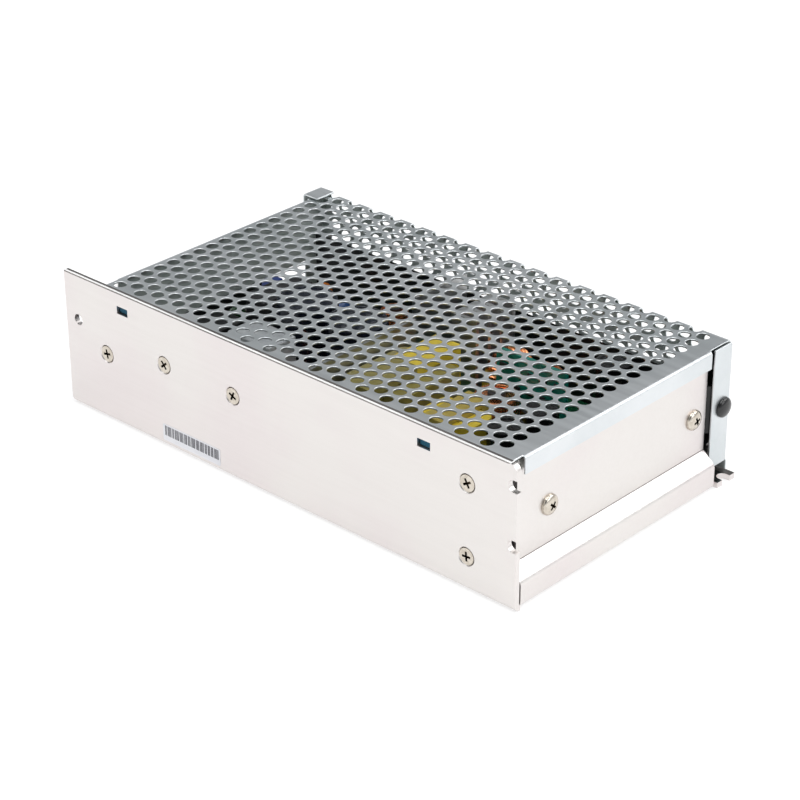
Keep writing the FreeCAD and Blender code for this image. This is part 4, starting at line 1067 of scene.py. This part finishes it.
def cut_cross(part, metal, top, span, width, depth):
    """Cuts a cross recess into a screw head. Its walls get a darker brown colour, painted shade.
    """
    cutter = cross_cutter(top, span, width, depth)
    part.data.materials.append(finishes[metal])
    cutter.data.materials.append(finishes["recess_painted_shade"])
    modify(part, "BOOLEAN", object=cutter, operation="DIFFERENCE", solver="EXACT",
           material_mode="TRANSFER")
    bpy.data.objects.remove(cutter)
    return part


# %% [markdown]
# ## Countersunk screws of the front wall
#
# Five nickel plated screws hold parts inside against the long wall. Three are long and two
# are short, and their heads lie level with the metal. No two stand at the same angle,
# since nobody lines them up, so each has its own turn.
# %% Countersunk screws of the front wall
sunk_head = [(-1.6, 1.5), (-0.3, 2.7), (-0.1, 2.8), (0.05, 2.75), (0.1, 2.5)]
head_depth = 0.15
long_places = ((-79.8, 25.1, 12), (-51.4, 30.65, 40), (-19.1, 30.65, 65))
short_places = ((80.3, 37.0, 30), (80.3, 11.9, 5))
groups = []
for length, places in ((9.0, long_places), (5.8, short_places)):
    shank = [(-length, 1.2), (0.3 - length, 1.5)]
    screw = cut_cross(turned(shank + sunk_head), "nickel_screw", 0.1, 3.3, 0.8, 0.8)
    groups.append(copies(screw, [
        standing(x, wall_front + head_depth, z, (0, -1, 0), spin) for x, z, spin in places]))
finish_piece(joined(groups), "countersunk_wall_screws", None,
             ["countersunk_screws"])

# %% [markdown]
# ## Round headed screws and the snap rivet
#
# The end wall has two pan heads, the rear wall two low heads and the board four of its own.
# Each head is a short rim and a dome. The black rivet beside them is a moulded dome on a
# split shank, and it takes the same steps with another profile.
# %% Pan head screws, cover screws, board screws and the snap rivet
end_x, end_z = 94.3, 26.4
board_top = 8.6
pan = cut_cross(turned([(-5.8, 1.2), (-5.5, 1.5), (0.0, 1.5), (0.0, 3.35), (0.15, 3.5)]
                       + dome(3.45, 0.45, 1.35)), "nickel_screw", 1.8, 2.94, 0.8, 1.2)
finish_piece(copies(pan, [standing(end_x, y, end_z, (1, 0, 0), spin)
                          for y, spin in ((-33.8, 50), (37.5, 20))]),
             "pan_head_end_screws", None, ["pan_head_screws"])
low_head = cut_cross(turned([(-3.9, 1.2), (-3.6, 1.5), (0.0, 1.5), (0.0, 2.5), (0.1, 2.6),
                             (0.5, 2.5), (0.75, 2.1)]), "nickel_screw", 0.75, 1.96, 0.64, 0.6)
finish_piece(copies(low_head, [standing(x, cover_high.y, 6.5, (0, 1, 0))
                               for x in (-59.5, 59.5)]),
             "rear_cover_screws", None, ["cover_screws"])
board_screw = cut_cross(turned([(-4.9, 1.2), (-4.6, 1.5), (0.0, 1.5), (0.0, 2.7), (0.1, 2.8)]
                               + dome(2.75, 0.7, 1.1)), "nickel_screw", 1.8, 2.1, 0.72, 1.1)
finish_piece(copies(board_screw, [standing(x, y, board_top) for x in (-78.5, 83.0)
                                  for y in (-46.7, 45.4)]),
             "board_fixing_screws", None, ["board_screws"])
rivet = turned([(-4.9, 1.4), (-4.0, 2.0), (0.0, 2.0), (0.0, 3.4), (0.15, 3.5)]
               + dome(3.48, 0.5, 1.5, 8), 48)
finish_piece(copies(rivet, [standing(cover_high.x, 51.0, end_z, (1, 0, 0))]),
             "black_snap_rivet", finishes["black_gloss"], ["snap_rivet"])

# %% [markdown]
# ## Terminal screws
#
# Seven tinned screws stand in a row, one in each way of the terminal block, where the wires
# are clamped. They are larger than the case screws and left at all angles by use, so the
# turn grows by an odd amount from one to the next.
# %% Seven terminal screws
deck, ways, way_pitch = 17.6, 7, 9.5
screw_row_x, first_way_y = -92.5, -40.5
screw = turned([(-5.6, 1.3), (-5.3, 1.6), (0.0, 1.6), (0.0, 2.8), (0.12, 2.9)]
               + dome(2.87, 1.0, 1.2))
cut_cross(screw, "tinned_metal", 2.2, 2.52, 0.72, 1.3)
finish_piece(copies(screw, [
    standing(screw_row_x, first_way_y + way_pitch * way, deck, spin=17 * way + 8)
    for way in range(ways)]), "terminal_fixing_screws", None,
    ["terminal_screws"])

# %% [markdown]
# ## Electrolytic capacitors
#
# Each is an aluminium can with a groove pressed in near its foot and a shrunk sleeve whose
# edge rolls over the rim. The whole outline is one lathe profile, so sleeve and lid stay
# one closed mesh, and every can of a size is a copy of the first.
# %% Electrolytic capacitors
def can(radius, height):
    """A sleeved can with a crimped groove, a sleeve edge rolled over its top, and a lid
    sunk inside that edge."""
    return turned([(0.0, radius - 0.9), (0.3, radius - 0.3), (1.0, radius),
                   (2.0, radius), (2.6, radius - 0.55), (3.2, radius - 0.55),
                   (3.8, radius), (height - 0.7, radius), (height - 0.15, radius - 0.35),
                   (height, radius - 0.9), (height - 0.05, radius - 1.7),
                   (height - 0.35, radius - 1.8), (height - 0.35, 0.2)], 48)


def cans(name, slot, radius, height, places, nodes):
    """Cans at their places, sleeved in one finish."""
    piece = copies(can(radius, height), [standing(x, y, board_top) for x, y in places])
    finish_piece(piece, name, finishes[slot], nodes)


cans("bulk_cans", "capacitor_blue", 10.5, 32.0,
     ((-37.51, -1.98), (-14.575, -1.98)), ["bulk_capacitor_1", "bulk_capacitor_2"])
cans("output_cans", "capacitor_black", 6.2, 25.0,
     ((61.52, -15.05), (61.52, 0.98), (77.0, -6.98), (77.0, 8.95), (58.53, 42.03)),
     ["output_capacitor_%d" % k for k in range(1, 6)])

# %% [markdown]
# ## Dipped discs
#
# Ceramic discs are dipped in lacquer, which gathers into a lens round the disc and runs a
# little down its two wires. Both faces of the lens are the same dome, so one profile turned
# about the lens's own axis makes it, and each copy is then stood on its edge on the board.
# %% Dipped discs
disc_radius, disc_top, lead_offset = 5.5, 14.0, 2.5
lens = [(-2.0, 0.6)] + [(-z, r) for z, r in reversed(dome(5.45, 0.0, 2.0)[1:-1])] \
    + dome(disc_radius, 0.0, 2.0)[:-1] + [(2.0, 0.6)]
for slot, node, x, y in (("orange_disc", "orange_disc_capacitor", -69.59, 37.02),
                         ("blue_disc", "blue_disc_capacitor", -53.55, 31.51),
                         ("green_disc", "thermistor", -78.92, 3.43)):
    disc = copies(turned(lens), [standing(x, y, board_top + disc_top - disc_radius, (1, 0, 0))])
    leads = copies(turned([(0.0, 0.35), (5.0, 0.35)], 12),
                   [standing(x, y + side, board_top) for side in (-lead_offset, lead_offset)])
    finish_piece(joined([disc, leads]), "dipped_" + slot, finishes[slot], [node])

# %% [markdown]
# ## The fuse and the lamp
#
# The fuse is a ceramic tube between two wider tinned caps, laid over a leg at each end, and
# the lamp is a small green dome on a rim. Both are round, so they are turned as the screws
# are. The caps take their metal by how far a face lies from the middle of the tube.
# %% The fuse and the lamp
fuse_x, fuse_y, fuse_z, cap_start = -80.04, -22.09, 12.2, 4.95
fuse = turned([(-10.0, 2.2), (-9.8, 2.6), (-5.0, 2.6), (-5.0, 2.4), (5.0, 2.4), (5.0, 2.6),
               (9.8, 2.6), (10.0, 2.2)], 32)
fuse = copies(fuse, [standing(fuse_x, fuse_y, fuse_z, (0, 1, 0))])
fuse.data.materials.append(finishes["fuse_body"])
fuse.data.materials.append(finishes["tinned_metal"])
for face in fuse.data.polygons:
    face.material_index = 1 if abs(face.center.y / MM - fuse_y) > cap_start else 0
legs = [block((3.0, 3.0, 2.2), (fuse_x, fuse_y + side, 9.7)) for side in (-7.5, 7.5)]
for leg in legs:
    leg.data.materials.append(finishes["tinned_metal"])
finish_piece(joined([fuse] + legs), "ceramic_fuse", None, ["inlet_fuse"])
lamp = copies(turned([(0.0, 1.45), (0.6, 1.45), (0.6, 1.3)] + dome(1.3, 3.5, 1.4)[:-1], 24),
              [standing(-93.0, 24.2, board_top)])
finish_piece(lamp, "green_lamp", finishes["lamp_green"], ["power_lamp"])

# %% [markdown]
# ## Wound coils
#
# The solids show each winding as one thick ring or drum. A Torus scaled to an oval makes
# one turn of wire round the ring's cross-section, and copies of it walk round the core.
# The drum chokes are stacks of round turns on their rods.
# %% Ring chokes
ring_wall = 5.4
open_angle = math.radians(40)
touching = 0.96


def wound_ring(name, node, core_node, x, y, turns, wire):
    """A coated ring with turns of wire round it, standing across the X axis."""
    low, high = [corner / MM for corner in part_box(node)]
    core_low, core_high = [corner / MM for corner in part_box(core_node)]
    centre_z = (core_low.z + core_high.z) / 2
    outer = (core_high.y - core_low.y) / 2
    depth = core_high.x - core_low.x
    inner = outer - ring_wall
    start()
    section_x, section_r = depth / 2 + wire / 2, (outer - inner) / 2 + wire / 2
    bpy.ops.mesh.primitive_torus_add(
        major_segments=20, minor_segments=8, major_radius=section_r * MM,
        minor_radius=wire / 2 * touching * MM)
    turn = bpy.context.object
    edit(turn)
    bpy.ops.mesh.select_all(action="SELECT")
    bpy.ops.transform.resize(value=(section_x / section_r, 1, 1))
    bpy.ops.transform.translate(value=(0, (outer + inner) / 2 * MM, 0))
    start()
    places = []
    for k in range(turns):
        angle = open_angle / 2 + (2 * math.pi - open_angle) * (k + 0.5) / turns + math.pi
        places.append(Matrix.Translation(Vector((x, y, centre_z)) * MM)
                      @ Matrix.Rotation(angle, 4, "X"))
    finish_piece(copies(turn, places), name, finishes["copper_wire"], [node])
    print(name, "radius", round(outer + wire, 2), "space", round((high.y - low.y) / 2, 2))


wound_ring("filter_ring_turns", "filter_ring_winding", "filter_ring_core",
           -22.035, -23.01, 26, 1.2)
wound_ring("output_ring_turns", "output_ring_winding", "output_ring_core",
           24.03, 29.98, 24, 1.5)
for node in ("filter_ring_core", "output_ring_core"):
    softened(node, "powder_core", 0.5)

# %% [markdown]
# ## Drum chokes
#
# A drum choke is wire wound in one layer on a ferrite rod. The real wire climbs as a helix,
# but under a perforated lid a stack of closed turns looks the same and is one torus
# repeated. A plain tube behind the turns closes the grooves between them.
# %% Drum chokes
def drum(name, node, x, y, radius, top, wire):
    """A stack of round turns on a rod."""
    start()
    bpy.ops.mesh.primitive_torus_add(
        major_segments=32, minor_segments=8, major_radius=(radius - wire / 2) * MM,
        minor_radius=wire / 2 * MM)
    count = int((top - board_top) / wire)
    rise = (top - board_top - wire) / (count - 1)
    turn = bpy.context.object
    coil = copies(turn, [standing(x, y, board_top + wire / 2 + rise * k)
                         for k in range(count)])
    tube_radius = radius - wire * 0.7
    tube = copies(turned([(board_top + wire / 2, tube_radius), (top - wire / 2, tube_radius)],
                         32), [standing(x, y, 0)])
    finish_piece(joined([coil, tube]), name, finishes["copper_wire"], [node])


drum("choke_turns_1", "choke_coil_1", 39.51, 5.99, 7.5, 28.6, 1.33)
drum("choke_turns_2", "choke_coil_2", 39.51, 28.04, 7.5, 28.6, 1.33)
drum("small_choke_turns", "small_choke_coil", -33.04, 36.11, 5.0, 24.6, 1.0)
for rod in ("choke_rod_1", "choke_rod_2", "small_choke_rod"):
    softened(rod, "ferrite", 0.3)

# %% [markdown]
# ## Sticker
#
# The sticker is thin paper with rounded corners. A row of plain bars fills its upper part,
# with widths from a seeded random run. The bars are thin blocks and not a pattern in the
# finish, so they stay sharp from close by.
# %% Sticker with plain bars
paper_thickness, ink_thickness = 0.08, 0.02
paper_y = wall_front - paper_thickness / 2
ink_y = wall_front - paper_thickness - ink_thickness / 2
corner_radius = 0.5
bar_height, bar_drop, bar_gap, group_gap = 3.6, 2.3, 0.13, 0.28
bar_widths = (0.28, 0.42, 0.56)
left_margin, right_margin = 1.0, 1.6
sticker_low, sticker_high = [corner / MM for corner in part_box("bar_sticker")]
middle = (sticker_low + sticker_high) / 2
paper = block((sticker_high.x - sticker_low.x, paper_thickness,
               sticker_high.z - sticker_low.z), (middle.x, paper_y, middle.z))
edit(paper)
pick("EDGE", lambda m, e: near(m.y, paper_y))
bpy.ops.mesh.bevel(offset=corner_radius * MM, segments=4)
start()
seeded = random.Random(4)
bars = []
at = sticker_low.x + left_margin
while at < sticker_high.x - right_margin:
    for bar in range(seeded.choice((2, 3, 4))):
        width = seeded.choice(bar_widths)
        bars.append(block((width, ink_thickness, bar_height),
                          (at + width / 2, ink_y, sticker_high.z - bar_drop)))
        at += width + bar_gap
    at += group_gap
print(len(bars), "bars")
bars = joined(bars)
for part in (paper, bars):
    part.data.materials.append(finishes["sticker_paper"])
    part.data.materials.append(finishes["sticker_ink"])
for face in bars.data.polygons:
    face.material_index = 1
finish_piece(joined([paper, bars]), "bar_label", None, ["bar_sticker"])

# %% [markdown]
# ## Control board
#
# A small board stands upright and carries the controller. Its chips are black boxes of a
# few sizes in rows, picked by a seeded random run, with a bevel so narrow that it only
# catches the light.
# %% Control board with its chips
softened("control_board", "board_teal", 0.1, 1)
board_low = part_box("control_board")[0] / MM
chip_sizes = ((1.6, 0.9), (3.0, 1.6), (4.2, 4.0), (2.0, 1.2))
chip_height, chip_y = 0.7, board_low.y - 0.33
first_x, first_z = board_low.x + 3.4, board_low.z + 5.0
column_step, row_step = 5.5, 6.6
chips = []
seeded = random.Random(11)
for column in range(5):
    for row in range(4):
        wide, tall = seeded.choice(chip_sizes)
        centre = (first_x + column_step * column, chip_y, first_z + row_step * row)
        chips.append(block((wide, chip_height, tall), centre, 0.12, 1))
finish_piece(joined(chips), "control_chips", finishes["epoxy_black"])

# %% [markdown]
# ## Insulating film as painted shade
#
# Supplies of this kind often have a dark film between the board and the rear wall. This
# one is black, and its black is painted shade for the dark inside of the case. Its end is
# folded forwards near the snap rivet, where it closes the slit beside the corner strip with
# the same painted shade. It is flat and thin, so three blocks make it: the sheet, its fold
# and a rear tab.
# %% Dark film that stands between the board and the rear wall, as painted shade
film_thickness, film_y = 0.3, 50.75
film_bottom, film_top, fold_top, tab_bottom = 3.0, 33.0, 48.5, 11.0
film_left, film_right = cover_low.x + 0.7, 90.6
fold_depth, tab_depth, tab_start = 8.6, 2.8, 0.1
fold_middle = film_y - (fold_depth - film_thickness) / 2
tab_middle = film_y + tab_start + tab_depth / 2
film = block((film_right - film_left, film_thickness, film_top - film_bottom),
             ((film_left + film_right) / 2, film_y, (film_top + film_bottom) / 2), 0.1, 1)
folded_end = block((film_thickness, fold_depth, fold_top - film_bottom),
                   (film_right, fold_middle, (fold_top + film_bottom) / 2), 0.1, 1)
rear_tab = block((film_thickness, tab_depth, fold_top - tab_bottom),
                 (film_right, tab_middle, (fold_top + tab_bottom) / 2), 0.1, 1)
finish_piece(joined([film, folded_end, rear_tab]), "shade_film", finishes["black_matte"])

# %% [markdown]
# ## Solids that stay
#
# A few pieces are hidden or plain: the sheet under the board, the nuts and pads behind the
# wall and the posts below the board. Their solids are already as fine as anything that can
# be seen of them, so they only get a finish.
# %% Finishes of the solids that stay
for node, finish in (("insulating_sheet", "insulation_film"), ("wall_nuts", "nickel_screw"),
                     ("board_standoffs", "tinned_metal"), ("wall_pads", "grey_pad")):
    mesh = frame["nodes"][node].data
    mesh.materials.clear()
    mesh.materials.append(finishes[finish])
    print(node, "keeps its solid, in", finish)
